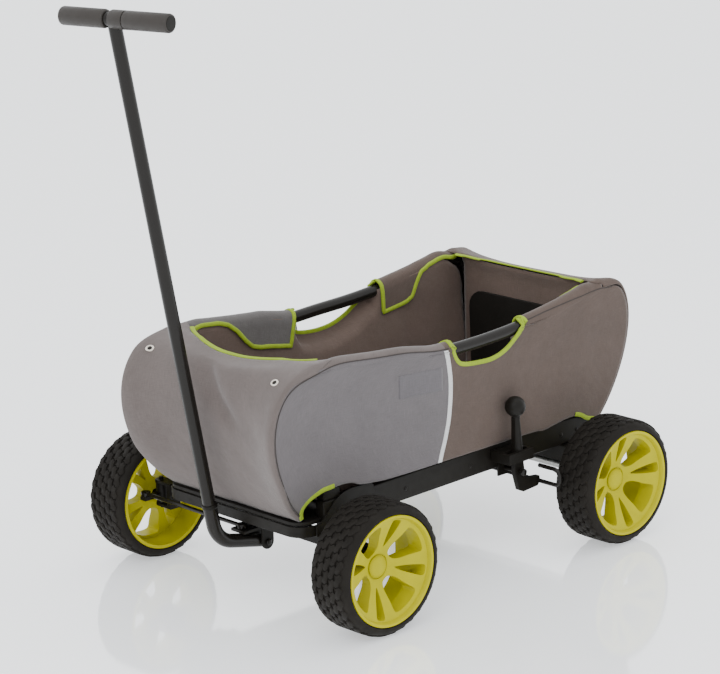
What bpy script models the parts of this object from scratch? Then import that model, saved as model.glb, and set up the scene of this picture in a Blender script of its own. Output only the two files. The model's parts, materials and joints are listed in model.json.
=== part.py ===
"""Kids pull wagon: a fabric tub on a steel chassis, with knuckle steering, four spoked wheels,
a folding pull handle and a parking brake.

Metres, +Z up. The wagon's front faces -Y, so its own left side is +X. The origin is on the
ground under the middle of the whole object.
"""
import math

import bmesh
import bpy
from mathutils import Euler, Matrix, Vector

# ---- driving dimensions ---------------------------------------------------------------------
FRONT_AXLE_Y = -0.2197        # centres the whole object on Y = 0
WHEELBASE = 0.5765
WHEEL_RADIUS = 0.110
TYRE_WIDTH = 0.0843
WHEEL_X = 0.279               # wheel centre plane
KINGPIN_X = 0.250
CLEARANCE = 0.0003            # between pieces that touch

# wheel section, radius and distance along the axle from the centre plane
TYRE_SHOULDER = 0.0157
TYRE_BORE = 0.0898
TYRE_RECESS = 0.0930
RIM_SEAT = 0.0890
RIM_LIP = 0.0922
BARREL_INSIDE = 0.0835
AXLE_RADIUS = 0.0075
AXLE_BORE = 0.0079
HUB_FACE = 0.0052
CAP_RADIUS = 0.0188
SPOKES = 4
# turn of the first slit from +Y towards +Z, wheel by wheel
SPOKE_TURN = {"front_left": -15.0, "front_right": 33.0, "rear_left": 6.0, "rear_right": 52.0}

# chassis
RAIL_OUTER_X = 0.175
RAIL_WIDTH = 0.022
RAIL_BOTTOM = 0.152
RAIL_TOP = 0.196
RAIL_FRONT = -0.010           # these lengths count from the front axle
RAIL_REAR = 0.640
BUMPER_FRONT = -0.060
BUMPER_HALF = 0.172
BUMPER_LOW = 0.1420
BUMPER_HIGH = 0.1600
FLOOR_LOW = 0.1615
FLOOR_HIGH = 0.1675
BEAM_LOW = 0.119
BEAM_HIGH = 0.136

# hoop tubes and tub
TUBE_RADIUS = 0.01075
TUBE_X = 0.1756
UPRIGHT_X = 0.1705
POST_X = 0.164
COVER_THICKNESS = 0.002
RIM_ROLL = 0.0144             # radius of the fabric over the hoop tube
RIM_SLACK = 0.0022            # the tube hangs this far below the roll's centre
INNER_FRONT = 0.035
INNER_REAR = 0.652
INNER_HEM = 0.194
PANEL_LEVELS = (0.0, 0.14, 0.28, 0.42, 0.56, 0.70, 0.82, 0.92)
FRONT_RECESS = 0.022          # how far the front panel's middle lies behind its corners

# steering, handle and brake
LINK_ARM = 0.036
LINK_Z = 0.122
YOKE_Z = 0.115
LINK_PIN = 0.0040
LINK_BORE = 0.0044
HANDLE_Y = 0.006
HANDLE_Z = 0.0865
BEND = (-0.092, 0.110)
SEAM = (-0.104, 0.175)
CROSSBAR = (-0.2464, 0.9961)
HANDLE_RADIUS = 0.0110
LOWER_RADIUS = 0.0120
GRIP_RADIUS = 0.0150
CROSSBAR_TWIST = 13.0          # the T sits a little askew on its tube
BRAKE_Y = 0.412
BRAKE_Z = 0.150
BAR_Y = 0.459
BAR_Z = 0.122
BAR_RADIUS = 0.0040
LEVER_X = 0.2080
LEVER_THICKNESS = 0.009

TYRE_STEPS = 28
RIM_STEPS = 16

SIDES = {"left": 1, "right": -1}


# ---- scene, materials and placing -----------------------------------------------------------
def clear_scene():
    for obj in list(bpy.data.objects):
        bpy.data.objects.remove(obj, do_unlink=True)


def new_collection(name):
    collection = bpy.data.collections.new(name)
    bpy.context.scene.collection.children.link(collection)
    return collection


clear_scene()
PARTS = new_collection("kids_pull_wagon")
CUTTERS = new_collection("cutters")


def material(name, colour, roughness, metallic=0.0):
    mat = bpy.data.materials.new(name)
    mat.use_nodes = True
    shader = mat.node_tree.nodes["Principled BSDF"]
    shader.inputs["Base Color"].default_value = (*colour, 1.0)
    shader.inputs["Roughness"].default_value = roughness
    shader.inputs["Metallic"].default_value = metallic
    return mat


BLACK = material("black_powder_coat", (0.022, 0.021, 0.020), 0.42, 0.0)
STEEL = material("zinc_steel", (0.55, 0.55, 0.54), 0.35, 1.0)
LIME = material("lime_plastic", (0.48, 0.52, 0.035), 0.42)
TYRE = material("tyre_rubber", (0.018, 0.017, 0.017), 0.78)
TAUPE = material("taupe_fabric", (0.125, 0.105, 0.092), 0.85)
GREY = material("grey_fabric", (0.19, 0.19, 0.215), 0.85)
FOAM = material("black_foam", (0.018, 0.018, 0.018), 0.75)
BOARD = material("black_board", (0.020, 0.019, 0.019), 0.55)


def y_at(length):
    """World Y of a length measured back from the front axle."""
    return FRONT_AXLE_Y + length


def link(obj, name, mat):
    obj.name = name
    obj.data.name = name
    for collection in list(obj.users_collection):
        collection.objects.unlink(obj)
    PARTS.objects.link(obj)
    obj.data.materials.clear()
    obj.data.materials.append(mat)
    return obj


def as_tool(obj):
    """Moves a cutter or an added shape out of the parts."""
    for collection in list(obj.users_collection):
        collection.objects.unlink(obj)
    CUTTERS.objects.link(obj)
    obj.hide_render = True
    obj.display_type = "WIRE"
    return obj


def pivot(name, location, parent=None):
    """An empty on a joint's axis."""
    empty = bpy.data.objects.new(name, None)
    PARTS.objects.link(empty)
    return mount(empty, location, parent)


def world_location(obj):
    place = obj.location.copy()
    while obj.parent:
        obj = obj.parent
        place += obj.location
    return place


def mount(obj, location, parent=None):
    """Places an object at a world location under a parent that isn't turned."""
    obj.location = Vector(location)
    if parent:
        obj.location -= world_location(parent)
        obj.parent = parent
    return obj


# ---- shapes ---------------------------------------------------------------------------------
AXIS_TURN = {"X": (0, math.pi / 2, 0), "Y": (math.pi / 2, 0, 0), "Z": (0, 0, 0)}
# turns a drawing's x, y and thickness onto the wagon's axes
PLANE_TURN = {"XY": (0, 0, 0), "YZ": (math.pi / 2, 0, math.pi / 2), "XZ": (math.pi / 2, 0, 0)}


def box(name, size, centre, mat, bevel=0.0, parent=None):
    bpy.ops.mesh.primitive_cube_add(size=1)
    obj = link(bpy.context.object, name, mat)
    for vert in obj.data.vertices:
        vert.co = Vector(a * b for a, b in zip(vert.co, size))
    if bevel:
        add_bevel(obj, bevel)
    return mount(obj, centre, parent)


def add_bevel(obj, width, segments=2):
    bevel = obj.modifiers.new("bevel", "BEVEL")
    bevel.width = width
    bevel.segments = segments
    bevel.limit_method = "ANGLE"


def cylinder(name, radius, length, centre, axis, mat, sides=16, bevel=0.0, parent=None):
    bpy.ops.mesh.primitive_cylinder_add(vertices=sides, radius=radius, depth=length)
    obj = link(bpy.context.object, name, mat)
    obj.data.shade_smooth()
    obj.data.set_sharp_from_angle(angle=math.radians(40))
    obj.rotation_euler = AXIS_TURN[axis]
    if bevel:
        add_bevel(obj, bevel, 1)
    return mount(obj, centre, parent)


def tube(name, points, radius, mat, sides_step=2, parent=None, origin=(0, 0, 0)):
    """A round bar along world points, as a filled curve."""
    curve = bpy.data.curves.new(name, "CURVE")
    curve.dimensions = "3D"
    curve.bevel_depth = radius
    curve.bevel_resolution = sides_step
    curve.use_fill_caps = True
    spline = curve.splines.new("POLY")
    spline.points.add(len(points) - 1)
    for knot, place in zip(spline.points, points):
        knot.co = (*(Vector(place) - Vector(origin)), 1.0)
    obj = link(bpy.data.objects.new(name, curve), name, mat)
    return mount(obj, origin, parent)


def plate(name, outlines, thickness, plane, centre, mat, bevel=0.0, parent=None):
    """A flat piece from a drawn outline, with any further outlines as its holes."""
    curve = bpy.data.curves.new(name, "CURVE")
    curve.dimensions = "2D"
    curve.fill_mode = "BOTH"
    curve.extrude = thickness / 2 - bevel
    curve.bevel_depth = bevel
    curve.bevel_resolution = 0
    curve.offset = -bevel
    for outline in outlines:
        spline = curve.splines.new("POLY")
        spline.points.add(len(outline) - 1)
        spline.use_cyclic_u = True
        for knot, (a, b) in zip(spline.points, outline):
            knot.co = (a, b, 0.0, 1.0)
    obj = link(bpy.data.objects.new(name, curve), name, mat)
    obj.rotation_euler = PLANE_TURN[plane]
    return mount(obj, centre, parent)


def solid(obj):
    """A curve object as a closed mesh object in the same place."""
    bpy.context.view_layer.update()
    graph = bpy.context.evaluated_depsgraph_get()
    mesh = bpy.data.meshes.new_from_object(obj.evaluated_get(graph))
    body = bmesh.new()
    body.from_mesh(mesh)
    bmesh.ops.remove_doubles(body, verts=body.verts, dist=1e-6)
    bmesh.ops.recalc_face_normals(body, faces=body.faces)
    body.to_mesh(mesh)
    body.free()
    name, mat, parent = obj.name, obj.data.materials[0], obj.parent
    place = obj.matrix_world.copy()
    curve = obj.data
    bpy.data.objects.remove(obj)
    bpy.data.curves.remove(curve)
    made = link(bpy.data.objects.new(name, mesh), name, mat)
    made.parent = parent
    made.matrix_world = place
    return made


def combine(target, tools, operation, solver="EXACT"):
    """Joins tools to a mesh object, or cuts them out of it."""
    for tool in tools:
        change = target.modifiers.new(tool.name, "BOOLEAN")
        change.operation = operation
        change.solver = solver
        change.object = as_tool(tool)
    return target


def lathe(name, profile, steps, centre, mat, side=1, parent=None, turn=0.0):
    """Turns a closed profile of (radius, height) points about the X axis, heights towards side."""
    mesh = bpy.data.meshes.new(name)
    body = bmesh.new()
    verts = [body.verts.new((radius, 0, height)) for radius, height in profile]
    on_axis = profile[0][0] == 0 and profile[-1][0] == 0
    pairs = list(zip(verts, verts[1:])) if on_axis else list(zip(verts, verts[1:] + verts[:1]))
    for start, end in pairs:
        body.edges.new((start, end))
    body.to_mesh(mesh)
    body.free()
    obj = link(bpy.data.objects.new(name, mesh), name, mat)
    screw = obj.modifiers.new("turned", "SCREW")
    screw.steps = steps
    screw.render_steps = steps
    screw.use_merge_vertices = True
    screw.merge_threshold = 1e-5
    obj.rotation_mode = "XYZ"
    obj.rotation_euler = (math.radians(turn) * side, side * math.pi / 2, 0)
    return mount(obj, centre, parent)


def arc(centre, radius, start, end, steps):
    """Points round an arc, angles in degrees."""
    turns = [math.radians(start + (end - start) * k / steps) for k in range(steps + 1)]
    return [(centre[0] + radius * math.cos(t), centre[1] + radius * math.sin(t)) for t in turns]


def circle(centre, radius, steps=12):
    return arc(centre, radius, 0, 360 * (1 - 1 / steps), steps - 1)


def smooth(points, steps):
    """A smooth run through the points, with the given steps between neighbours."""
    padded = [points[0], *points, points[-1]]
    run = []
    for a, b, c, d in zip(padded, padded[1:], padded[2:], padded[3:]):
        for k in range(steps):
            t = k / steps
            run.append(tuple(
                0.5 * (2 * q + (r - p) * t + (2 * p - 5 * q + 4 * r - s) * t * t
                       + (3 * q - p - 3 * r + s) * t ** 3)
                for p, q, r, s in zip(a, b, c, d)))
    run.append(tuple(points[-1]))
    return run


def bezier(knots, t):
    """A point on a cubic curve with four control points."""
    weights = ((1 - t) ** 3, 3 * t * (1 - t) ** 2, 3 * t * t * (1 - t), t ** 3)
    return tuple(sum(w * knot[k] for w, knot in zip(weights, knots)) for k in range(2))


def ease(value):
    value = min(max(value, 0.0), 1.0)
    return value * value * (3 - 2 * value)


def sheet(name, rows, thickness, mat):
    """A closed skin on a grid of points; its thickness goes away from the side that is drawn."""
    mesh = bpy.data.meshes.new(name)
    body = bmesh.new()
    grid = [[body.verts.new(point) for point in row] for row in rows]
    for upper, lower in zip(grid, grid[1:]):
        for k in range(len(upper) - 1):
            body.faces.new((upper[k], lower[k], lower[k + 1], upper[k + 1]))
    body.to_mesh(mesh)
    body.free()
    obj = link(bpy.data.objects.new(name, mesh), name, mat)
    skin = obj.modifiers.new("skin", "SOLIDIFY")
    skin.thickness = thickness
    skin.offset = -1
    return obj


# ---- outline of the tub, in (length, height) ------------------------------------------------
FRONT_EDGE = ((-0.045, 0.174), (-0.130, 0.235), (-0.175, 0.405), (-0.025, 0.432))
REAR_EDGE = ((0.645, 0.180), (0.715, 0.245), (0.775, 0.420), (0.655, 0.441))
TOP_EDGE = (FRONT_EDGE[3], (0.200, 0.400), (0.420, 0.382), REAR_EDGE[3])
HEM = (FRONT_EDGE[0], (0.000, 0.206), (0.580, 0.199), REAR_EDGE[0])


def side_point(along, up):
    """The side panel's surface between its four edges."""
    hem, top = bezier(HEM, along), bezier(TOP_EDGE, along)
    front, rear = bezier(FRONT_EDGE, up), bezier(REAR_EDGE, up)
    corners = (HEM[0], HEM[3], TOP_EDGE[0], TOP_EDGE[3])
    return tuple(
        (1 - up) * hem[k] + up * top[k] + (1 - along) * front[k] + along * rear[k]
        - (1 - along) * (1 - up) * corners[0][k] - along * (1 - up) * corners[1][k]
        - (1 - along) * up * corners[2][k] - along * up * corners[3][k]
        for k in range(2))


def half_width(length, height):
    """Outer half width of the tub."""
    rise = min((height - 0.17) / 0.26, 1.0)
    width = 0.1808 + 0.0094 * math.sin(rise * math.pi / 2)
    return width - 0.020 * ease((-0.014 - length) / 0.035) * ease((0.25 - height) / 0.08)


def rim_height(length):
    """Height of the top edge at a length."""
    low, high = 0.0, 1.0
    for _ in range(24):
        middle = (low + high) / 2
        if bezier(TOP_EDGE, middle)[0] < length:
            low = middle
        else:
            high = middle
    return bezier(TOP_EDGE, low)[1]


def inner_x(height):
    """Half width of the tub's inside."""
    return 0.1495 + 0.0117 * ease((height - 0.23) / 0.13)


# ---- chassis --------------------------------------------------------------------------------
def rounded_strip(half, front, rear, radius, thickness):
    """Plan outline of a bar bent into a U, open at the rear."""
    def bend(inset):
        left = arc((-half + radius, front + radius), radius - inset, 180, 270, 6)
        right = arc((half - radius, front + radius), radius - inset, 270, 360, 6)
        return [(-half + inset, rear), *left, *right, (half - inset, rear)]
    return bend(0) + bend(thickness)[::-1]


def make_chassis():
    rail_length = RAIL_REAR - RAIL_FRONT
    rail_mid = (RAIL_REAR + RAIL_FRONT) / 2
    for side, sign in SIDES.items():
        box(f"side_rail_{side}", (RAIL_WIDTH, rail_length, RAIL_TOP - RAIL_BOTTOM),
            (sign * (RAIL_OUTER_X - RAIL_WIDTH / 2), y_at(rail_mid), (RAIL_TOP + RAIL_BOTTOM) / 2),
            BLACK, 0.003)
        make_corner_bracket(side, sign)
    plate("front_bumper",
          [rounded_strip(BUMPER_HALF, BUMPER_FRONT, RAIL_FRONT - 0.0005, 0.034, 0.004)],
          BUMPER_HIGH - BUMPER_LOW, "XY", (0, y_at(0), (BUMPER_LOW + BUMPER_HIGH) / 2), BLACK)
    box("rear_crossbar", (0.304, 0.020, 0.026), (0, y_at(0.640), 0.174 - 0.0265), BLACK, 0.002)
    make_floor_panel()
    make_front_beam()
    make_rear_beam()


def make_corner_bracket(side, sign):
    """The gusset that carries the rail down to the bumper."""
    outline = [(-0.030, BUMPER_LOW), (0.085, BUMPER_LOW), (0.100, 0.152), (0.100, 0.198),
               (0.094, 0.204), (0.050, 0.206), (0.030, 0.203), (0.012, 0.194),
               (-0.004, 0.178), (-0.016, 0.168), (-0.030, BUMPER_HIGH)]
    plate(f"corner_bracket_{side}", [outline], 0.0025, "YZ",
          (sign * (RAIL_OUTER_X + CLEARANCE + 0.00125), y_at(0), 0), BLACK)


def make_floor_panel():
    wide = BUMPER_HALF - 0.004
    narrow = RAIL_OUTER_X - RAIL_WIDTH - 2 * CLEARANCE
    front, step, rear = BUMPER_FRONT + 0.002, RAIL_FRONT - 0.0005, 0.651
    radius = 0.030
    outline = [(-narrow, rear), (-narrow, step), (-wide, step),
               *arc((-wide + radius, front + radius), radius, 180, 270, 6),
               *arc((wide - radius, front + radius), radius, 270, 360, 6),
               (wide, step), (narrow, step), (narrow, rear)]
    plate("floor_panel", [outline], FLOOR_HIGH - FLOOR_LOW, "XY",
          (0, y_at(0), (FLOOR_LOW + FLOOR_HIGH) / 2), BOARD)
    box("floor_mat", (0.290, 0.606, 0.008), (0, y_at(0.340), FLOOR_HIGH + 0.0045), TAUPE, 0.003)


def make_front_beam():
    """The steel beam under the rails, with a fork for a kingpin at each end."""
    beam = box("front_axle_beam", (0.440, 0.020, BEAM_HIGH - BEAM_LOW),
               (0, y_at(0), (BEAM_HIGH + BEAM_LOW) / 2), BLACK)
    added, holes = [], []
    for side, sign in SIDES.items():
        added.append(box(f"riser_{side}", (0.020, 0.060, RAIL_BOTTOM - CLEARANCE - 0.130),
                         (sign * 0.163, y_at(0.021), (RAIL_BOTTOM - CLEARANCE + 0.130) / 2), BLACK))
        added.append(box(f"fork_back_{side}", (0.010, 0.022, 0.0464),
                         (sign * 0.2195, y_at(0), 0.1168), BLACK))
        for name, low, high in (("low", 0.0936, 0.0986), ("high", 0.1350, 0.1400)):
            lug = [(-0.028, 0.011), (-0.028, -0.011), *arc((0, 0), 0.011, -90, 90, 8)]
            flat = plate(f"fork_{name}_{side}", [lug], high - low, "XY",
                         (sign * KINGPIN_X, y_at(0), (low + high) / 2), BLACK)
            if sign < 0:
                flat.rotation_euler = (0, 0, math.pi)
            added.append(solid(flat))
        holes.append(cylinder(f"kingpin_hole_{side}", 0.0046, 0.08,
                              (sign * KINGPIN_X, y_at(0), 0.117), "Z", BLACK))
    holes.append(cylinder("swivel_hole", 0.0054, 0.08, (0, y_at(0), 0.12), "Z", BLACK))
    combine(beam, added, "UNION")
    combine(beam, holes, "DIFFERENCE")


def make_rear_beam():
    """The rear cross-member, with a cheek at each end for the axle."""
    top = RAIL_BOTTOM - CLEARANCE
    beam = box("rear_axle_beam", (0.420, 0.032, top - 0.1225),
               (0, y_at(WHEELBASE), (top + 0.1225) / 2), BLACK)
    cheeks = [box(f"cheek_{side}", (0.010, 0.032, top - 0.094),
                  (sign * 0.213, y_at(WHEELBASE), (top + 0.094) / 2), BLACK)
              for side, sign in SIDES.items()]
    combine(beam, cheeks, "UNION")
    hole = cylinder("axle_hole", AXLE_BORE, 0.5, (0, y_at(WHEELBASE), WHEEL_RADIUS), "X", BLACK)
    combine(beam, [hole], "DIFFERENCE")
    cylinder("rear_axle", AXLE_RADIUS, 2 * (WHEEL_X + 0.003),
             (0, y_at(WHEELBASE), WHEEL_RADIUS), "X", STEEL)


# ---- tub ------------------------------------------------------------------------------------
def hoop_path(sign):
    """Centre line of a side tube: front post, rim and rear post."""
    front = [(0.008, 0.2266), (-0.006, 0.2480), (-0.048, 0.2750), (-0.086, 0.3080),
             (-0.092, 0.3450), (-0.081, 0.3800), (-0.050, 0.4000)]
    rim = []
    for k in range(1, 8):
        length, height = bezier(TOP_EDGE, k / 8)
        rim.append((length, height - RIM_ROLL - RIM_SLACK))
    rear = [(0.664, 0.4130), (0.686, 0.3920), (0.692, 0.3580), (0.692, 0.3250), (0.692, 0.2920),
            (0.677, 0.2580), (0.650, 0.2380), (0.634, 0.2266)]
    path = []
    for length, height in smooth([*front, *rim, *rear], 2):
        across = POST_X + (UPRIGHT_X - POST_X) * ease((height - 0.230) / 0.045)
        across += (TUBE_X - UPRIGHT_X) * ease((height - 0.355) / 0.040)
        path.append((sign * across, y_at(length), height))
    return path


def make_hoops():
    for side, sign in SIDES.items():
        tube(f"top_tube_{side}", hoop_path(sign), TUBE_RADIUS, BLACK)
        for end, length in (("front", 0.010), ("rear", 0.632)):
            box(f"post_socket_{end}_{side}", (0.019, 0.036, 0.018),
                (sign * POST_X, y_at(length), RAIL_TOP + CLEARANCE + 0.009), BLACK, 0.002)
        ring = [(0.0146, 0.010), (0.0146, -0.010), (0.0116, -0.010), (0.0116, 0.010)]
        collar = lathe(f"corner_joint_{side}", ring, 16, (sign * UPRIGHT_X, y_at(0.6920), 0.3240), BLACK)
        collar.rotation_euler = (0, 0, 0)
    for end, length, height in (("front", -0.052, 0.4000), ("rear", 0.6735, 0.4060)):
        cylinder(f"{end}_cross_tube", TUBE_RADIUS, 2 * (TUBE_X - TUBE_RADIUS - 0.0012),
                 (0, y_at(length), height), "X", BLACK, 12)
    outline = []
    for cx, cz, start in ((0.100, 0.335, 0), (-0.100, 0.335, 90), (-0.115, 0.223, 180), (0.115, 0.223, 270)):
        radius = 0.032 if cz > 0.3 else 0.015
        outline += arc((cx, cz), radius, start, start + 90, 5)
    plate("back_panel", [outline], 0.005, "XZ", (0, y_at(0.6535), 0), BOARD)


def make_side_cover(side, sign):
    """The side's fabric: outer skin, roll over the tube, and inner skin, with a hand-hold."""
    columns = 14
    rows = []
    for up in PANEL_LEVELS:
        rows.append([])
        for k in range(columns + 1):
            length, height = side_point(k / columns, up)
            rows[-1].append((half_width(length, height), length, height))
    for turn in (25, 65, 115, 155):
        rows.append([])
        for k in range(columns + 1):
            along = k / columns
            length = bezier(TOP_EDGE, along)[0]
            inward = INNER_FRONT + (INNER_REAR - INNER_FRONT) * along
            length += (inward - length) * ease(turn / 180)
            rows[-1].append((TUBE_X + RIM_ROLL * math.cos(math.radians(turn)), length,
                             rim_height(length) - RIM_ROLL * (1 - math.sin(math.radians(turn)))))
    for down in (0.90, 0.62, 0.30, 0.0):
        rows.append([])
        for k in range(columns + 1):
            along = k / columns
            length = INNER_FRONT + (INNER_REAR - INNER_FRONT) * along
            height = INNER_HEM + (rim_height(length) - INNER_HEM) * down
            rows[-1].append((inner_x(height), length, height))
    points = [[(sign * x, y_at(length), height) for x, length, height in row] for row in rows]
    if sign > 0:
        points = points[::-1]
    cover = sheet(f"cover_side_{side}", points, COVER_THICKNESS, TAUPE)
    notch = [(0.266, 0.46), (0.268, 0.398), (0.276, 0.382), (0.292, 0.369), (0.315, 0.362),
             (0.360, 0.360), (0.400, 0.367), (0.435, 0.378), (0.458, 0.394), (0.468, 0.412), (0.468, 0.46)]
    cutter = plate(f"hand_hold_{side}", [notch], 0.08, "YZ", (sign * TUBE_X, y_at(0), 0), TAUPE)
    combine(cover, [solid(cutter)], "DIFFERENCE", "MANIFOLD")


def end_cover(name, profile, mat, recess, flip):
    """An end's fabric: rows of (length, height, half width, share of the recess)."""
    columns = 8
    rows = []
    for length, height, half, share in profile:
        rows.append([])
        for k in range(columns + 1):
            across = 2 * k / columns - 1
            dip = recess * share * (1 - across * across) ** 2
            rows[-1].append((across * half, y_at(length + dip), height))
    return sheet(name, rows[::-1] if flip else rows, COVER_THICKNESS, mat)


def make_covers():
    for side, sign in SIDES.items():
        make_side_cover(side, sign)
    gap = COVER_THICKNESS + 0.0018
    front = []
    for up in PANEL_LEVELS:
        length, height = bezier(FRONT_EDGE, up)
        front.append((length, height, half_width(length, height) - gap, math.sin(math.pi * up)))
    deck_half = 0.158
    front += [(-0.032, 0.4310, deck_half, 0.0), (0.008, 0.4290, deck_half, 0.0),
              (0.026, 0.4180, 0.150, 0.0), (0.030, 0.3950, 0.148, 0.0), (0.030, 0.3000, 0.147, 0.0),
              (0.030, 0.1800, 0.146, 0.0)]
    end_cover("cover_front", front, GREY, FRONT_RECESS, True)
    rear = []
    for up in PANEL_LEVELS:
        length, height = bezier(REAR_EDGE, up)
        rear.append((length, height, half_width(length, height) - gap, 0.0))
    rear += [(0.6620, 0.4390, deck_half, 0.0), (0.6580, 0.4250, 0.152, 0.0), (0.6570, 0.3800, 0.150, 0.0),
             (0.6570, 0.2800, 0.148, 0.0), (0.6570, 0.2100, 0.147, 0.0)]
    end_cover("cover_rear", rear, TAUPE, 0.0, False)
    for side, sign in SIDES.items():
        ring = [(0.0052, 0.0010), (0.0052, -0.0008), (0.0028, -0.0008), (0.0028, 0.0010)]
        eyelet = lathe(f"eyelet_{side}", ring, 12, (sign * 0.152, y_at(-0.0905), 0.4155), STEEL)
        eyelet.rotation_euler = (math.radians(48), 0, 0)


# ---- wheels ---------------------------------------------------------------------------------
def tyre_profile():
    """Section of the tyre, from the outer face's bore round the tread and back."""
    half = TYRE_WIDTH / 2
    inner = WHEEL_RADIUS - TYRE_SHOULDER
    recess = 0.0368
    outer_face = [(inner + TYRE_SHOULDER * math.sin(t), half - TYRE_SHOULDER * (1 - math.cos(t)))
                  for t in (0.0, 0.8, math.pi / 2)]
    inner_face = [(radius, -height) for radius, height in reversed(outer_face)]
    return [*outer_face, *inner_face, (TYRE_RECESS, -half), (TYRE_RECESS, -recess),
            (TYRE_BORE, -recess), (TYRE_BORE, recess), (TYRE_RECESS, recess), (TYRE_RECESS, half)]


def rim_profile(boss_back):
    """Section of the rim: barrel, lips, dished web and hub."""
    return [(0.0880, 0.0415), (RIM_LIP, 0.0415), (RIM_LIP, 0.0374), (RIM_SEAT, 0.0374),
            (RIM_SEAT, -0.0374), (RIM_LIP, -0.0374), (RIM_LIP, -0.0415), (0.0862, -0.0415),
            (BARREL_INSIDE, 0.0250), (0.0300, 0.0010), (0.0175, -0.0020), (0.0165, boss_back),
            (AXLE_BORE, boss_back), (AXLE_BORE, HUB_FACE), (0.0215, HUB_FACE), (0.0790, 0.0320),
            (0.0855, 0.0335)]


def window_outlines():
    """A wide window between spokes and a narrow slit in each split spoke."""
    outlines = []
    for k in range(SPOKES):
        turn = 2 * math.pi * k / SPOKES
        slit = [(0.034, 0.0), (0.046, 0.0045), (0.064, 0.0080), (0.0810, 0.0080),
                (0.0810, -0.0080), (0.064, -0.0080), (0.046, -0.0045)]
        half_turn = math.pi / SPOKES
        window = [(0.0275, 0.0), (0.0305, 0.0085), (0.0390, 0.0148), (0.0560, 0.0205), (0.0738, 0.0255),
                  (0.0778, 0.0130), (0.0790, 0.0), (0.0778, -0.0130), (0.0738, -0.0255),
                  (0.0560, -0.0205), (0.0390, -0.0148), (0.0305, -0.0085)]
        for shape, angle in ((slit, turn), (window, turn + half_turn)):
            outlines.append([(a * math.cos(angle) - b * math.sin(angle),
                              a * math.sin(angle) + b * math.cos(angle)) for a, b in shape])
    return outlines


def make_wheel(name, side_sign, length, boss_back, parent):
    centre = (side_sign * WHEEL_X, y_at(length), WHEEL_RADIUS)
    spin = pivot(f"{name}_spin", centre, parent)
    lathe(f"tyre_{name}", tyre_profile(), TYRE_STEPS, centre, TYRE, side_sign, spin)
    rim = lathe(f"rim_{name}", rim_profile(boss_back), RIM_STEPS, centre, LIME, side_sign, spin)
    cutter = plate(f"windows_{name}", window_outlines(), 0.070, "YZ",
                   (centre[0] + side_sign * 0.0250, centre[1], centre[2]), LIME)
    cutter.rotation_euler = window_turn(SPOKE_TURN[name])
    combine(rim, [solid(cutter)], "DIFFERENCE")
    cap = [(0.0, 0.0060), (0.0095, 0.0052), (0.0160, 0.0030), (CAP_RADIUS, 0.0), (0.0, 0.0)]
    lathe(f"hub_cap_{name}", cap, 16, (centre[0] + side_sign * (HUB_FACE + CLEARANCE), centre[1], centre[2]),
          LIME, side_sign, spin)


def window_turn(degrees):
    """Stands a drawing in the YZ plane and turns it by an angle from +Y towards +Z."""
    upright = Euler(PLANE_TURN["YZ"]).to_matrix()
    turned = Matrix.Rotation(math.radians(degrees), 3, "X") @ upright
    return turned.to_euler()


# ---- steering -------------------------------------------------------------------------------
def make_knuckle(side, sign, reach, parent):
    """Kingpin barrel, stub axle and steering arm; reach is where its link pin is."""
    turn = pivot(f"knuckle_{side}_turn", (sign * KINGPIN_X, y_at(0), WHEEL_RADIUS), parent)
    knuckle = cylinder(f"knuckle_{side}", 0.0100, 0.0358, (sign * KINGPIN_X, y_at(0), 0.1168), "Z",
                       STEEL, parent=turn)
    pin = cylinder(f"kingpin_{side}", 0.0040, 0.056, (sign * KINGPIN_X, y_at(0), 0.1168), "Z", STEEL)
    stub_end = WHEEL_X + 0.003
    stub = cylinder(f"stub_{side}", AXLE_RADIUS, stub_end - KINGPIN_X,
                    (sign * (stub_end + KINGPIN_X) / 2, y_at(0), WHEEL_RADIUS), "X", STEEL)
    arm = box(f"arm_{side}", (0.014, LINK_ARM + 0.007, 0.006),
              (sign * KINGPIN_X, y_at(math.copysign((LINK_ARM + 0.007) / 2, reach)), 0.1140), STEEL)
    link_pin = cylinder(f"link_pin_{side}", LINK_PIN, 0.014,
                        (sign * KINGPIN_X, y_at(reach), 0.1205), "Z", STEEL)
    combine(knuckle, [pin, stub, arm, link_pin], "UNION")
    return turn


def make_tie_rod(side, sign, reach, parent):
    inner = pivot(f"tie_rod_{side}_turn", (0, y_at(reach), LINK_Z), parent)
    rod = cylinder(f"tie_rod_{side}", 0.0036, KINGPIN_X - 0.012,
                   (sign * KINGPIN_X / 2, y_at(reach), LINK_Z), "X", BLACK, 12, parent=inner)
    eyes = [cylinder(f"eye_{end}_{side}", 0.0085, 0.008, (sign * x, y_at(reach), LINK_Z), "Z", BLACK)
            for end, x in (("inner", 0.0), ("outer", KINGPIN_X))]
    holes = [cylinder(f"eye_hole_{end}_{side}", LINK_BORE, 0.02, (sign * x, y_at(reach), LINK_Z), "Z", BLACK)
             for end, x in (("inner", 0.0), ("outer", KINGPIN_X))]
    combine(rod, eyes, "UNION")
    combine(rod, holes, "DIFFERENCE")


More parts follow.
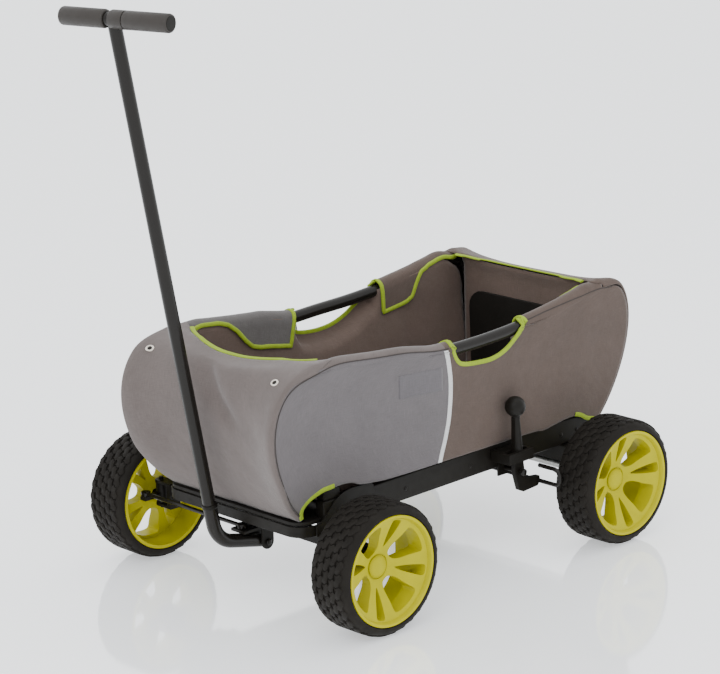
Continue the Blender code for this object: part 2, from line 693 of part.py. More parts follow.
def make_steering():
    swivel = pivot("steer", (0, y_at(0), BEAM_LOW))
    yoke = box("steering_yoke", (0.034, 0.092, 0.005), (0, y_at(0), YOKE_Z), BLACK, parent=swivel)
    added = []
    for side, sign in SIDES.items():
        ear = [(-0.013, YOKE_Z - HANDLE_Z), (-0.013, 0.0), *arc((0, 0), 0.013, 180, 360, 8),
               (0.013, YOKE_Z - HANDLE_Z)]
        drawn = plate(f"ear_{side}", [ear], 0.003, "YZ",
                      (sign * 0.0150, y_at(HANDLE_Y), HANDLE_Z), BLACK)
        added.append(solid(drawn))
    for name, reach in (("front", -LINK_ARM), ("rear", LINK_ARM)):
        added.append(cylinder(f"yoke_pin_{name}", LINK_PIN, 0.018, (0, y_at(reach), 0.1185), "Z", BLACK))
    combine(yoke, added, "UNION")
    ear_hole = cylinder("ear_hole", 0.0044, 0.06, (0, y_at(HANDLE_Y), HANDLE_Z), "X", BLACK)
    bolt_hole = cylinder("bolt_hole", 0.0053, 0.02, (0, y_at(0), YOKE_Z), "Z", BLACK)
    combine(yoke, [ear_hole, bolt_hole], "DIFFERENCE")
    bolt = cylinder("steering_pivot_bolt", 0.0049, 0.0300, (0, y_at(0), 0.1245), "Z", STEEL, parent=swivel)
    head = cylinder("bolt_head", 0.0090, 0.006, (0, y_at(0), BEAM_HIGH + 0.0034), "Z", STEEL, 6)
    combine(bolt, [head], "UNION")
    cylinder("handle_pivot_pin", 0.0040, 0.0400, (0, y_at(HANDLE_Y), HANDLE_Z), "X", STEEL, parent=swivel)
    for side, sign in SIDES.items():
        reach = LINK_ARM * sign
        turn = make_knuckle(side, sign, reach, None)
        make_tie_rod(side, sign, reach, swivel)
        make_wheel(f"front_{side}", sign, 0.0, -0.0110, turn)
        make_wheel(f"rear_{side}", sign, WHEELBASE, -0.0340, None)
    return swivel


# ---- handle ---------------------------------------------------------------------------------
def make_handle(swivel):
    tilt = pivot("handle_tilt", (0, y_at(HANDLE_Y), HANDLE_Z), swivel)
    tail = (HANDLE_Y + 0.010, HANDLE_Z - 0.010 * 0.2567)
    path = [tail, *fillet(tail, BEND, SEAM, 0.050, 8), SEAM]
    lower = solid(tube("handle_lower_tube", [(0, y_at(a), b) for a, b in path], LOWER_RADIUS, BLACK, 3,
                       parent=tilt, origin=(0, y_at(HANDLE_Y), HANDLE_Z)))
    hole = cylinder("handle_bore", 0.0044, 0.05, (0, y_at(HANDLE_Y), HANDLE_Z), "X", BLACK)
    lean = math.atan2(SEAM[0] - CROSSBAR[0], CROSSBAR[1] - SEAM[1])
    button_at = (0.0, y_at(SEAM[0] + 0.030 * math.sin(lean)), SEAM[1] - 0.030 * math.cos(lean))
    socket = cylinder("button_bore", 0.0042, 0.017, (-LOWER_RADIUS, button_at[1], button_at[2]), "X", BLACK)
    combine(lower, [hole, socket], "DIFFERENCE")
    stem_foot = (SEAM[0] - 0.0006 * math.sin(lean), SEAM[1] + 0.0006 * math.cos(lean))
    stem = tube("handle_tube", [(0, y_at(stem_foot[0]), stem_foot[1]), (0, y_at(CROSSBAR[0]), CROSSBAR[1])],
                HANDLE_RADIUS, BLACK, 3, parent=tilt, origin=(0, y_at(HANDLE_Y), HANDLE_Z))
    stem = solid(stem)
    middle = Vector((0.0, y_at(CROSSBAR[0]), CROSSBAR[1]))
    twist = math.radians(CROSSBAR_TWIST)
    bar = cylinder("crossbar", HANDLE_RADIUS, 0.193, middle, "X", BLACK)
    bar.rotation_euler.z = twist
    combine(stem, [bar], "UNION")
    for side, sign in SIDES.items():
        sleeve = [(0.0, 0.0430), (GRIP_RADIUS - 0.001, 0.0430), (GRIP_RADIUS, 0.0410),
                  (GRIP_RADIUS, -0.0410), (GRIP_RADIUS - 0.001, -0.0430),
                  (HANDLE_RADIUS + 0.0004, -0.0430), (HANDLE_RADIUS + 0.0004, 0.0365), (0.0, 0.0365)]
        place = middle + sign * 0.0610 * Vector((math.cos(twist), math.sin(twist), 0.0))
        grip = lathe(f"grip_{side}", sleeve, 16, place, FOAM, sign, tilt)
        grip.rotation_euler.z = twist
    push = pivot("button_push", (-LOWER_RADIUS, button_at[1], button_at[2]), tilt)
    cylinder("snap_button", 0.0036, 0.0078, (-LOWER_RADIUS - 0.0002, button_at[1], button_at[2]), "X", STEEL,
             12, 0.0008, push)


def fillet(start, corner, end, radius, steps):
    """An arc of the radius that rounds the corner between two straight runs."""
    corner, start, end = Vector(corner), Vector(start), Vector(end)
    first, second = (start - corner).normalized(), (end - corner).normalized()
    half = first.angle(second) / 2
    centre = corner + (first + second).normalized() * (radius / math.sin(half))
    reach = radius / math.tan(half)
    run = []
    for k in range(steps + 1):
        t = k / steps
        chord = (corner + first * reach) * (1 - t) + (corner + second * reach) * t
        run.append(tuple(centre + (chord - centre).normalized() * radius))
    return run


# ---- parking brake --------------------------------------------------------------------------
def make_brake():
    axis = pivot("brake_turn", (0, y_at(BRAKE_Y), BRAKE_Z))
    foot = [(0.4270, 0.1345), (0.4620, 0.1300), (0.4640, 0.1200), (0.4570, 0.1130), (0.4210, 0.1110),
            (0.4110, 0.1160), (0.4015, 0.1480)]
    lever = [(0.4015, 0.1700), (0.4030, 0.2475), (0.4140, 0.2475), (0.4220, 0.1700), (0.4245, 0.1500)]
    stub = [(0.4035, 0.1580), (0.4120, 0.1620), (0.4205, 0.1580), (0.4245, 0.1500)]
    holes = [circle((BRAKE_Y, BRAKE_Z), 0.0045), circle((BAR_Y, BAR_Z), BAR_RADIUS + 0.0004)]
    for name, sign, top in (("brake_lever", 1, lever), ("brake_arm_right", -1, stub)):
        piece = plate(name, [foot + top, *holes], LEVER_THICKNESS, "YZ", (sign * LEVER_X, y_at(0), 0), BLACK)
        mount(piece, (sign * LEVER_X, y_at(0), 0), axis)
    bpy.ops.mesh.primitive_uv_sphere_add(segments=16, ring_count=10, radius=0.018)
    knob = link(bpy.context.object, "brake_knob", FOAM)
    knob.data.shade_smooth()
    mount(knob, (LEVER_X, y_at(0.4085), 0.2660), axis)
    half = [(0.2150, 0.1500), (0.2500, 0.1500), (0.2580, 0.1475), (0.2630, 0.1400), (0.2630, 0.1310),
            (0.2600, 0.1245), (0.2540, BAR_Z)]
    left = [(x, y_at(BAR_Y), z) for x, z in half]
    right = [(-x, y, z) for x, y, z in reversed(left)]
    tube("brake_bar", left + right, BAR_RADIUS, STEEL, parent=axis, origin=(0, y_at(BRAKE_Y), BRAKE_Z))
    make_brake_brackets()


def make_brake_brackets():
    plate_x = RAIL_OUTER_X + CLEARANCE + 0.00175
    outline = [(0.3950, 0.1380), (0.4290, 0.1380), (0.4290, 0.1880), (0.3950, 0.1880)]
    for side, sign in SIDES.items():
        drawn = plate(f"brake_bracket_{side}", [outline], 0.0035, "YZ",
                      (sign * plate_x, y_at(0), 0), BLACK)
        bracket = solid(drawn)
        added = [cylinder(f"brake_stud_{side}", 0.0040, 0.0400,
                          (sign * 0.1970, y_at(BRAKE_Y), BRAKE_Z), "X", BLACK)]
        if side == "left":
            guide = box("lever_guide", (0.0440, 0.0600, 0.0180), (0.2000, y_at(0.4080), 0.1790), BLACK)
            slot = box("lever_slot", (0.0120, 0.0480, 0.0400), (LEVER_X, y_at(0.4075), 0.1790), BLACK)
            added.append(guide)
            combine(bracket, added, "UNION")
            combine(bracket, [slot], "DIFFERENCE")
        else:
            combine(bracket, added, "UNION")


make_chassis()
make_hoops()
make_covers()
make_handle(make_steering())
make_brake()
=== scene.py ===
import json
import math

import bmesh
import bpy
from mathutils import Matrix, Vector, noise


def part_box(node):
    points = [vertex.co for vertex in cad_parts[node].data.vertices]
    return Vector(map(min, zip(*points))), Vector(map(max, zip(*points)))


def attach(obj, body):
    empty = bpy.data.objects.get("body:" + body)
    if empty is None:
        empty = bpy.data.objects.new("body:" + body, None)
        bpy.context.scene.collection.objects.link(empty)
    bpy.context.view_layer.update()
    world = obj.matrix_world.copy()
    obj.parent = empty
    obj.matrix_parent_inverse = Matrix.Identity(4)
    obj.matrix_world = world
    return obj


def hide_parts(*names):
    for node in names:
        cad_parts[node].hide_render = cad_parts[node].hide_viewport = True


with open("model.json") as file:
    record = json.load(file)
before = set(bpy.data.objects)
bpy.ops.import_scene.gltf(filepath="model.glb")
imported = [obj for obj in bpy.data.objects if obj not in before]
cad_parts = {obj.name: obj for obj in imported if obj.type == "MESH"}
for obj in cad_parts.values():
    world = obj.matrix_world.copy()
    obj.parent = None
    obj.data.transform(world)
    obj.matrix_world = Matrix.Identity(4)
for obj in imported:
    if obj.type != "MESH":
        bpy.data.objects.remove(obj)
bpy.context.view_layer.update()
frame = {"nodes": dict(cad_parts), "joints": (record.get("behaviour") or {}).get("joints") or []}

# ---- places, from the frame -----------------------------------------------------------------
JOINTS = {joint["name"]: joint for joint in frame["joints"]}
AXLE_Y = JOINTS["steer"]["pos_m"][1]
HANDLE_PIVOT = Vector(JOINTS["handle_tilt"]["pos_m"])
BRAKE_PIVOT = Vector(JOINTS["brake_turn"]["pos_m"])
ROOT = "chassis_and_tub"
SIDES = {"left": 1, "right": -1}
WHEELS = ("front_left", "front_right", "rear_left", "rear_right")

# ---- driving dimensions; a "length" counts back from the front axle --------------------------
TUBE_X = 0.1756               # centre of the side tube along the rim
UPRIGHT_X = 0.1705            # the same on its upright parts
POST_X = 0.164                # and at its feet
TUBE_RADIUS = 0.01075
RIM_ROLL = 0.0144             # radius of the fabric over the hoop tube
RIM_SLACK = 0.0022            # how far the tube runs under the cloth's roll
BULGE = {"front": 0.0070, "rear": 0.0075}      # radius of an end cover's turn into the sides
FRONT_RECESS = 0.032          # how deep the front is drawn in, so that the steered handle clears it
REAR_DROP = 0.0040            # dip of the side's roll behind the rear flap
FRONT_SAG = 0.010             # sag of the ends' tops between the sides
REAR_SAG = 0.0135
INNER_FRONT = 0.002           # lengths of the flap's two ends inside the tub
INNER_REAR = 0.652
OPENING_HALF = 0.155          # half width over which the front opening's edge is curved
FABRIC = 0.0014               # thickness of the cloth
TRIM = 0.0006                 # thickness of tape and patch
FLAP_UNIT = 0.1               # metres of hanging flap to a unit of turn; see shell_point
ROLL_STEPS = 14               # rows of the cover's grid over half a turn of the roll
SEAM_TURN = 1 + 2 / ROLL_STEPS      # place of the long seam on the roll; see shell_point
# past FLAT_TURN the flap gets a darker copy of the side's cloth: painted shade of the flap hanging inside
# the tub
FLAT_TURN = 1.45              # turn at which the rim's cloth gives way to the flap's
BINDING_HALF = 0.0040         # half width of the lime tape
EDGE_SET = 0.0013             # the hand-hold's edge holds the outer cloth and the lining
LINING_FOOT = 0.180           # height of the inner walls' lower edge
LINING_HALF = 0.150           # half width of the inner walls at the ends
LINING_ACROSS = 40            # cells of their grids
LINING_DOWN = 28
WHEEL_RADIUS = 0.110
TYRE_WIDTH = 0.0843
TYRE_SHOULDER = 0.0157        # radius of the tyre's rounded edge
SPOKES = 4
CROSSBAR_TWIST = math.radians(13.0)
BAR_RADIUS = 0.0110           # upper handle tube and crossbar
GRIP_RADIUS = 0.0150
SPOKE_TURN = {"front_left": -15.0, "front_right": 33.0, "rear_left": 6.0, "rear_right": 52.0}

# outlines of the tub, in (length, height)
FRONT_EDGE = ((-0.045, 0.174), (-0.130, 0.235), (-0.175, 0.405), (-0.025, 0.432))
REAR_EDGE = ((0.645, 0.180), (0.715, 0.245), (0.775, 0.420), (0.655, 0.441))
TOP_EDGE = (FRONT_EDGE[3], (0.200, 0.400), (0.420, 0.382), REAR_EDGE[3])
HEM = [FRONT_EDGE[0], (-0.047, 0.190), (-0.038, 0.206), (-0.021, 0.2165), (-0.004, 0.2185),
       (0.028, 0.2195), (0.047, 0.2165), (0.064, 0.2095), (0.100, 0.2045), (0.150, 0.2010),
       (0.300, 0.1990), (0.470, 0.1975), (0.506, 0.1940), (0.532, 0.1970), (0.562, 0.2010),
       (0.588, 0.2010), (0.604, 0.1960), (0.620, 0.1870), REAR_EDGE[0]]
# the hand-holds' edges, by side
NOTCH = {1: [(0.2810, 0.4090), (0.2825, 0.3980), (0.2862, 0.3834), (0.2948, 0.3695), (0.3076, 0.3628),
             (0.3370, 0.3589), (0.3743, 0.3575), (0.4048, 0.3653), (0.4279, 0.3791), (0.4472, 0.3941),
             (0.4553, 0.4058), (0.4570, 0.4150)],
         -1: [(0.2500, 0.4110), (0.2505, 0.3960), (0.2525, 0.3790), (0.2590, 0.3665), (0.2720, 0.3590),
              (0.2950, 0.3545), (0.3240, 0.3530), (0.3560, 0.3560), (0.3880, 0.3660), (0.4140, 0.3800),
              (0.4400, 0.3940), (0.4530, 0.4060), (0.4560, 0.4150)]}
# the join of the two cloths, under the white tape
STRIPE = [(0.2630, 0.3935), (0.2672, 0.3785), (0.2706, 0.3579), (0.2727, 0.3375), (0.2726, 0.3075),
          (0.2693, 0.2722), (0.2657, 0.2544), (0.2610, 0.2354), (0.2549, 0.2168), (0.2500, 0.2000)]
STRIPE_BY_HEIGHT = sorted((height, length) for length, height in STRIPE)
# the flaps' lower edges, as (length, depth under the rim's top)
FLAP_FRONT = [(0.004, 0.0170), (0.030, 0.0125), (0.070, 0.0115), (0.090, 0.0160), (0.108, 0.0280),
              (0.126, 0.0470), (0.143, 0.0600), (0.165, 0.0640), (0.236, 0.0640)]
FLAP_REAR = [(0.456, 0.0600), (0.500, 0.0600), (0.518, 0.0590), (0.534, 0.0540), (0.546, 0.0330),
             (0.558, 0.0180), (0.580, 0.0130), (0.620, 0.0120), (0.690, 0.0150)]
# the flaps' upright ends at the hand-hold, as (height, length), the front ones by side
GAP_FRONT = {1: [(0.300, 0.2350), (0.344, 0.2370), (0.362, 0.2480),
                 (0.393, 0.2750), (0.405, 0.2880), (0.500, 0.2900)],
             -1: [(0.300, 0.2350), (0.344, 0.2355), (0.362, 0.2390),
                  (0.393, 0.2470), (0.405, 0.2500), (0.500, 0.2500)]}
GAP_REAR = [(0.300, 0.4560), (0.398, 0.4555), (0.500, 0.4560)]


def y_at(length):
    """World Y of a length measured back from the front axle."""
    return AXLE_Y + length


def ease(value):
    """A smooth step from 0 to 1."""
    value = min(max(value, 0.0), 1.0)
    return value * value * (3 - 2 * value)


def mix(a, b, t):
    return a + (b - a) * t


def bezier(knots, t):
    """A point on a cubic curve with four control points."""
    weights = ((1 - t) ** 3, 3 * t * (1 - t) ** 2, 3 * t * t * (1 - t), t ** 3)
    return tuple(sum(w * knot[k] for w, knot in zip(weights, knots)) for k in range(2))


def smooth(points, steps):
    """A smooth run through the points, with the given steps between neighbours."""
    padded = [points[0], *points, points[-1]]
    run = []
    for a, b, c, d in zip(padded, padded[1:], padded[2:], padded[3:]):
        for k in range(steps):
            t = k / steps
            run.append(tuple(
                0.5 * (2 * q + (r - p) * t + (2 * p - 5 * q + 4 * r - s) * t * t
                       + (3 * q - p - 3 * r + s) * t ** 3)
                for p, q, r, s in zip(a, b, c, d)))
    run.append(tuple(points[-1]))
    return run


def at_length(points, length):
    """The second coordinate of a run of points at a value of the first."""
    if length <= points[0][0]:
        return points[0][1]
    for (a, low), (b, high) in zip(points, points[1:]):
        if length <= b:
            return mix(low, high, (length - a) / (b - a))
    return points[-1][1]


# ---- materials ------------------------------------------------------------------------------
def node(tree, kind, inputs=None, **fields):
    """A shader node; an input is a number, a colour or another node's output."""
    made = tree.nodes.new("ShaderNode" + kind)
    for field, value in fields.items():
        setattr(made, field, value)
    for name, value in (inputs or {}).items():
        if isinstance(value, bpy.types.NodeSocket):
            tree.links.new(value, made.inputs[name])
        else:
            made.inputs[name].default_value = value
    return made


def surface(name, roughness, metallic=0.0, **shader_inputs):
    """A new material with its node tree and its shader."""
    mat = bpy.data.materials.new(name)
    mat.use_nodes = True
    tree = mat.node_tree
    shader = tree.nodes["Principled BSDF"]
    shader.inputs["Roughness"].default_value = roughness
    shader.inputs["Metallic"].default_value = metallic
    for key, value in shader_inputs.items():
        shader.inputs[key.replace("_", " ")].default_value = value
    return mat, tree, shader


def grain(tree, vector, scale, low, high, detail=4.0):
    """Noise as a grey factor between low and high."""
    field = node(tree, "TexNoise", {"Vector": vector, "Scale": scale, "Detail": detail})
    return node(tree, "MapRange", {"Value": field.outputs["Fac"], "From Min": 0.3, "From Max": 0.7,
                                   "To Min": low, "To Max": high}).outputs["Result"]


def blend(tree, share, a, b, **fields):
    """Two colours mixed by a share."""
    return node(tree, "MixRGB", {"Fac": share, "Color1": a, "Color2": b}, **fields).outputs["Color"]


def product(tree, a, b):
    return blend(tree, 1.0, a, b, blend_type="MULTIPLY")


def colour_node(tree, colour):
    made = node(tree, "RGB")
    made.outputs[0].default_value = (*colour, 1.0)
    return made.outputs[0]


def fabric(name, colour, other=None, other_attribute=None, sheen=0.18):
    """Plain-woven polyester: both ways' threads, slubs, a soft mottle and a fine weave relief.
    Another colour shows where the attribute is above zero."""
    mat, tree, shader = surface(name, 0.86, Sheen_Weight=sheen, Sheen_Roughness=0.45)
    shader.inputs["Specular IOR Level"].default_value = 0.25
    uv = node(tree, "TexCoord").outputs["UV"]
    base = colour_node(tree, colour)
    if other:
        side = node(tree, "Attribute", attribute_name=other_attribute).outputs["Fac"]
        pick = node(tree, "Math", {0: side, 1: 0.0}, operation="GREATER_THAN").outputs[0]
        base = blend(tree, pick, base, colour_node(tree, other))
    across = node(tree, "Mapping", {"Vector": uv, "Scale": (900.0, 60.0, 1.0)}).outputs["Vector"]
    along = node(tree, "Mapping", {"Vector": uv, "Scale": (60.0, 900.0, 1.0)}).outputs["Vector"]
    tone = product(tree, base, grain(tree, across, 1.0, 0.90, 1.08, 2.0))
    tone = product(tree, tone, grain(tree, along, 1.0, 0.92, 1.07, 2.0))
    tone = product(tree, tone, grain(tree, uv, 14.0, 0.93, 1.06, 5.0))
    tree.links.new(tone, shader.inputs["Base Color"])
    tree.links.new(grain(tree, uv, 60.0, 0.80, 0.92), shader.inputs["Roughness"])
    weave = []
    for direction in ("X", "Y"):
        weave.append(node(tree, "TexWave", {"Vector": uv, "Scale": 380.0, "Distortion": 0.6, "Detail": 1.0},
                          wave_type="BANDS", bands_direction=direction, wave_profile="SIN").outputs["Fac"])
    height = node(tree, "Math", {0: weave[0], 1: weave[1]}, operation="MAXIMUM").outputs[0]
    cloth = node(tree, "Bump", {"Height": height, "Strength": 0.25, "Distance": 0.0004}).outputs["Normal"]
    soft = node(tree, "TexNoise", {"Vector": uv, "Scale": 26.0, "Detail": 3.0}).outputs["Fac"]
    bump = node(tree, "Bump", {"Height": soft, "Strength": 0.22, "Distance": 0.006, "Normal": cloth})
    tree.links.new(bump.outputs["Normal"], shader.inputs["Normal"])
    return mat


def solid_finish(name, colour, roughness, metallic=0.0, speck=0.10, rough_spread=0.08, bump=0.06,
                 bump_scale=700.0, dust=0.0, **shader_inputs):
    """Coated, moulded or plated stuff: faint cloudiness, uneven gloss, fine relief and low-down dust."""
    mat, tree, shader = surface(name, roughness, metallic, **shader_inputs)
    place = node(tree, "TexCoord").outputs["Object"]
    tone = product(tree, colour_node(tree, colour), grain(tree, place, 38.0, 1 - speck, 1 + speck, 6.0))
    if dust:
        height = node(tree, "SeparateXYZ", {"Vector": place}).outputs["Z"]
        low = node(tree, "MapRange", {"Value": height, "From Min": 0.26, "From Max": 0.02, "To Min": 0.0,
                                      "To Max": dust}).outputs["Result"]
        patches = grain(tree, place, 22.0, 0.2, 1.0, 8.0)
        patchy = node(tree, "Math", {0: low, 1: patches}, operation="MULTIPLY")
        tone = blend(tree, patchy.outputs[0], tone, DUST)
    tree.links.new(tone, shader.inputs["Base Color"])
    gloss = grain(tree, place, 90.0, roughness - rough_spread, roughness + rough_spread, 5.0)
    tree.links.new(gloss, shader.inputs["Roughness"])
    relief = node(tree, "TexNoise", {"Vector": place, "Scale": bump_scale, "Detail": 3.0}).outputs["Fac"]
    raised = node(tree, "Bump", {"Height": relief, "Strength": bump, "Distance": 0.0006})
    tree.links.new(raised.outputs["Normal"], shader.inputs["Normal"])
    return mat


DUST = (0.16, 0.14, 0.12, 1.0)
WARM_GREY = (0.118, 0.098, 0.092)
BLUE_GREY = (0.118, 0.107, 0.111)
TAUPE = (0.084, 0.060, 0.049)
LINING = (0.106, 0.075, 0.061)
# the flap's colour is the side's cloth darkened: painted shade where the flap faces into the tub
FLAP_GREY_PAINTED_SHADE = (0.098, 0.091, 0.088)
COAT_BLACK = (0.0072, 0.0062, 0.0048)

FRONT_CLOTH = fabric("warm_grey_weave", WARM_GREY)
SIDE_CLOTH = fabric("blue_grey_and_taupe_weave", BLUE_GREY, TAUPE, "behind_stripe")
RIM_CLOTH = fabric("warm_grey_and_taupe_weave", WARM_GREY, TAUPE, "behind_stripe")
# the flaps' material: the side's cloth with painted shade, darker because the flap hangs inside the tub
FLAP_CLOTH_PAINTED_SHADE = fabric("flap_weave_painted_shade", FLAP_GREY_PAINTED_SHADE, TAUPE, "behind_stripe")
REAR_CLOTH = fabric("taupe_weave", TAUPE)
LINING_CLOTH = fabric("lining_weave", LINING)
PATCH_CLOTH = fabric("patch_weave", (0.114, 0.105, 0.112))
LIME_BINDING = fabric("lime_binding", (0.250, 0.350, 0.018), sheen=0.05)
WHITE_TAPE = fabric("white_tape", (0.60, 0.60, 0.60), sheen=0.1)
THREAD = fabric("seam_thread", (0.045, 0.038, 0.035), sheen=0.0)
POWDER = solid_finish("black_powder_coat", COAT_BLACK, 0.42, bump=0.15, bump_scale=900.0, dust=0.03,
                      Specular_IOR_Level=0.12)
GLOSS_BLACK = solid_finish("black_tube_coat", (0.0100, 0.0086, 0.0072), 0.22, speck=0.04,
                           rough_spread=0.03, bump=0.01, bump_scale=500.0, Specular_IOR_Level=0.20)
NYLON = solid_finish("black_nylon", COAT_BLACK, 0.42, bump=0.12, bump_scale=1400.0,
                     Specular_IOR_Level=0.14)
BOARD = solid_finish("black_board", (0.0100, 0.0088, 0.0074), 0.55, bump=0.25, bump_scale=1100.0,
                     Specular_IOR_Level=0.15)
ZINC = solid_finish("zinc_plate", (0.42, 0.42, 0.41), 0.34, 1.0, speck=0.08, bump=0.05)
RUBBER = solid_finish("tyre_rubber", (0.0098, 0.0084, 0.0068), 0.66, speck=0.16, bump=0.30, bump_scale=500.0,
                      dust=0.05, Specular_IOR_Level=0.10)
FOAM = solid_finish("grip_foam", (0.0270, 0.0230, 0.0200), 0.46, bump=0.25, bump_scale=850.0,
                    Specular_IOR_Level=0.30)
LIME = solid_finish("lime_plastic", (0.410, 0.375, 0.0010), 0.42, speck=0.05, bump=0.08, bump_scale=1300.0,
                    Specular_IOR_Level=0.10)
EYELET = solid_finish("eyelet_metal", (0.72, 0.66, 0.58), 0.26, 1.0, bump=0.03)


# ---- mesh making ----------------------------------------------------------------------------
def keep(obj, body, mat, stands_for=()):
    """Registers a finished piece: its material, its CAD body and the nodes it stands for."""
    if obj.name not in bpy.context.scene.collection.all_objects:
        bpy.context.scene.collection.objects.link(obj)
    if mat is not None:
        obj.data.materials.clear()
        for one in (mat if isinstance(mat, (list, tuple)) else [mat]):
            obj.data.materials.append(one)
    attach(obj, body)
    if stands_for:
        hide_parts(*stands_for)
    return obj


def linked(name, data):
    """A new object in the scene."""
    obj = bpy.data.objects.new(name, data)
    bpy.context.scene.collection.objects.link(obj)
    return obj


def from_bmesh(name, body, sharp=40.0):
    """A smooth-shaded object from a bmesh, with edges kept sharp above an angle in degrees."""
    mesh = bpy.data.meshes.new(name)
    bmesh.ops.recalc_face_normals(body, faces=body.faces)
    body.to_mesh(mesh)
    body.free()
    mesh.shade_smooth()
    if sharp:
        mesh.set_sharp_from_angle(angle=math.radians(sharp))
    return linked(name, mesh)


def apply_modifiers(obj):
    """Turns an object's modifiers into its mesh."""
    graph = bpy.context.evaluated_depsgraph_get()
    mesh = bpy.data.meshes.new_from_object(obj.evaluated_get(graph))
    obj.modifiers.clear()
    old = obj.data
    obj.data = mesh
    bpy.data.meshes.remove(old)


def facing(place, axis):
    """The transform that takes a lathed shape to a place, its X axis along the given one."""
    turned = Vector(axis).to_track_quat("X", "Z").to_matrix().to_4x4()
    return Matrix.Translation(Vector(place)) @ turned


def run_lengths(points):
    """Distance from the first point to each point, along the run."""
    run = [0.0]
    for a, b in zip(points, points[1:]):
        run.append(run[-1] + (Vector(b) - Vector(a)).length)
    return run


def cloth_grid(name, rows, thickness, flip, zones=None, marks=None):
    """A fabric skin on a grid of points, with the cloth's own measures as its UVs.
    zones gives each row strip's material index, marks each point's value of behind_stripe."""
    body = bmesh.new()
    uv_layer = body.loops.layers.uv.new("UVMap")
    mark_layer = body.verts.layers.float.new("behind_stripe")
    grid = [[body.verts.new(point) for point in row] for row in rows]
    if marks:
        for row, values in zip(grid, marks):
            for vert, value in zip(row, values):
                vert[mark_layer] = value
    reach_u = [run_lengths(row) for row in rows]
    reach_v = [run_lengths([row[k] for row in rows]) for k in range(len(rows[0]))]
    for i in range(len(rows) - 1):
        for k in range(len(rows[0]) - 1):
            corners = [(i, k), (i + 1, k), (i + 1, k + 1), (i, k + 1)]
            if flip:
                corners.reverse()
            face = body.faces.new([grid[a][b] for a, b in corners])
            face.smooth = True
            face.material_index = zones[i] if zones else 0
            for loop, (a, b) in zip(face.loops, corners):
                loop[uv_layer].uv = (reach_u[a][b], reach_v[b][a])
    mesh = bpy.data.meshes.new(name)
    body.to_mesh(mesh)
    body.free()
    obj = linked(name, mesh)
    skin = obj.modifiers.new("skin", "SOLIDIFY")
    skin.thickness = thickness
    skin.offset = -1
    return obj


def bar(name, points, radius, mat, body, slot=None, stands_for=(), sides=6, taper=None):
    """A round bar along world points; taper gives its radius' share from the run's share."""
    curve = bpy.data.curves.new(name, "CURVE")
    curve.dimensions = "3D"
    curve.bevel_depth = radius
    curve.bevel_resolution = sides
    curve.use_fill_caps = True
    spline = curve.splines.new("POLY")
    spline.points.add(len(points) - 1)
    for k, (knot, place) in enumerate(zip(spline.points, points)):
        knot.co = (*place, 1.0)
        if taper:
            knot.radius = taper(k / (len(points) - 1))
    obj = linked(name, curve)
    graph = bpy.context.evaluated_depsgraph_get()
    mesh = bpy.data.meshes.new_from_object(obj.evaluated_get(graph))
    bpy.data.objects.remove(obj)
    bpy.data.curves.remove(curve)
    cleaned = bmesh.new()
    cleaned.from_mesh(mesh)
    bmesh.ops.remove_doubles(cleaned, verts=cleaned.verts, dist=1e-6)
    cleaned.to_mesh(mesh)
    cleaned.free()
    mesh.shade_smooth()
    mesh.set_sharp_from_angle(angle=math.radians(50))
    return keep(bpy.data.objects.new(name, mesh), body, mat, stands_for)


def lathe_mesh(name, profile, steps, side=1, centre=(0, 0, 0), sharp=35.0):
    """Turns a (radius, height) profile about the X axis; heights go towards side.
    The profile is closed, or starts and ends on the axis."""
    body = bmesh.new()
    closed = not (profile[0][0] == 0 and profile[-1][0] == 0)
    rings = []
    for radius, height in profile:
        if radius == 0:
            rings.append([body.verts.new((centre[0] + side * height, centre[1], centre[2]))])
            continue
        ring = []
        for k in range(steps):
            angle = 2 * math.pi * k / steps
            ring.append(body.verts.new((centre[0] + side * height, centre[1] + radius * math.cos(angle),
                                        centre[2] + radius * math.sin(angle))))
        rings.append(ring)
    pairs = list(zip(rings, rings[1:]))
    if closed:
        pairs.append((rings[-1], rings[0]))
    for first, second in pairs:
        for k in range(steps):
            a, b = first[k % len(first)], first[(k + 1) % len(first)]
            c, d = second[(k + 1) % len(second)], second[k % len(second)]
            corners = list(dict.fromkeys((a, b, c, d)))
            if len(corners) > 2:
                body.faces.new(corners)
    return from_bmesh(name, body, sharp)


# ---- the tub's surface ----------------------------------------------------------------------
def even_run(points, count):
    """The same line as count + 1 points at equal distances."""
    reach = run_lengths(points)
    kept, k = [], 0
    for n in range(count + 1):
        target = reach[-1] * n / count
        while k < len(points) - 2 and reach[k + 1] < target:
            k += 1
        share = (target - reach[k]) / (reach[k + 1] - reach[k])
        kept.append(tuple(Vector(points[k]).lerp(Vector(points[k + 1]), share)))
    return kept


HEM_RUN = even_run(smooth(HEM, 8), 240)
NOTCH_RUN = {sign: smooth(points, 5) for sign, points in NOTCH.items()}


def half_width(length, height):
    """Outer half width of the tub: it widens upwards and draws in at the foot of the front."""
    rise = min((height - 0.17) / 0.26, 1.0)
    width = 0.1808 + 0.0094 * math.sin(rise * math.pi / 2)
    return width - 0.020 * ease((-0.014 - length) / 0.035) * ease((0.25 - height) / 0.08)


def inner_x(height):
    """Half width of the tub's inside."""
    return 0.1495 + 0.0117 * ease((height - 0.23) / 0.13)


def edge_frame(edge, t, inward):
    """A point on an end's outline and the direction into the tub there."""
    low, high = bezier(edge, max(t - 0.01, 0.0)), bezier(edge, min(t + 0.01, 1.0))
    along = Vector((high[0] - low[0], high[1] - low[1])).normalized()
    normal = Vector((along.y, -along.x)) * inward
    normal = normal.lerp(Vector((0.0, -1.0)), top_share(t)).normalized()
    return Vector(bezier(edge, t)), normal


def top_share(t):
    """How far a place on an end's outline belongs to the roll over the tube."""
    return ease((t - 0.80) / 0.20)


def inset(edge, t, inward):
    """A point on an end's outline, moved in under the roll where the side's flat face ends."""
    point, normal = edge_frame(edge, t, inward)
    return point + normal * RIM_ROLL * top_share(t)


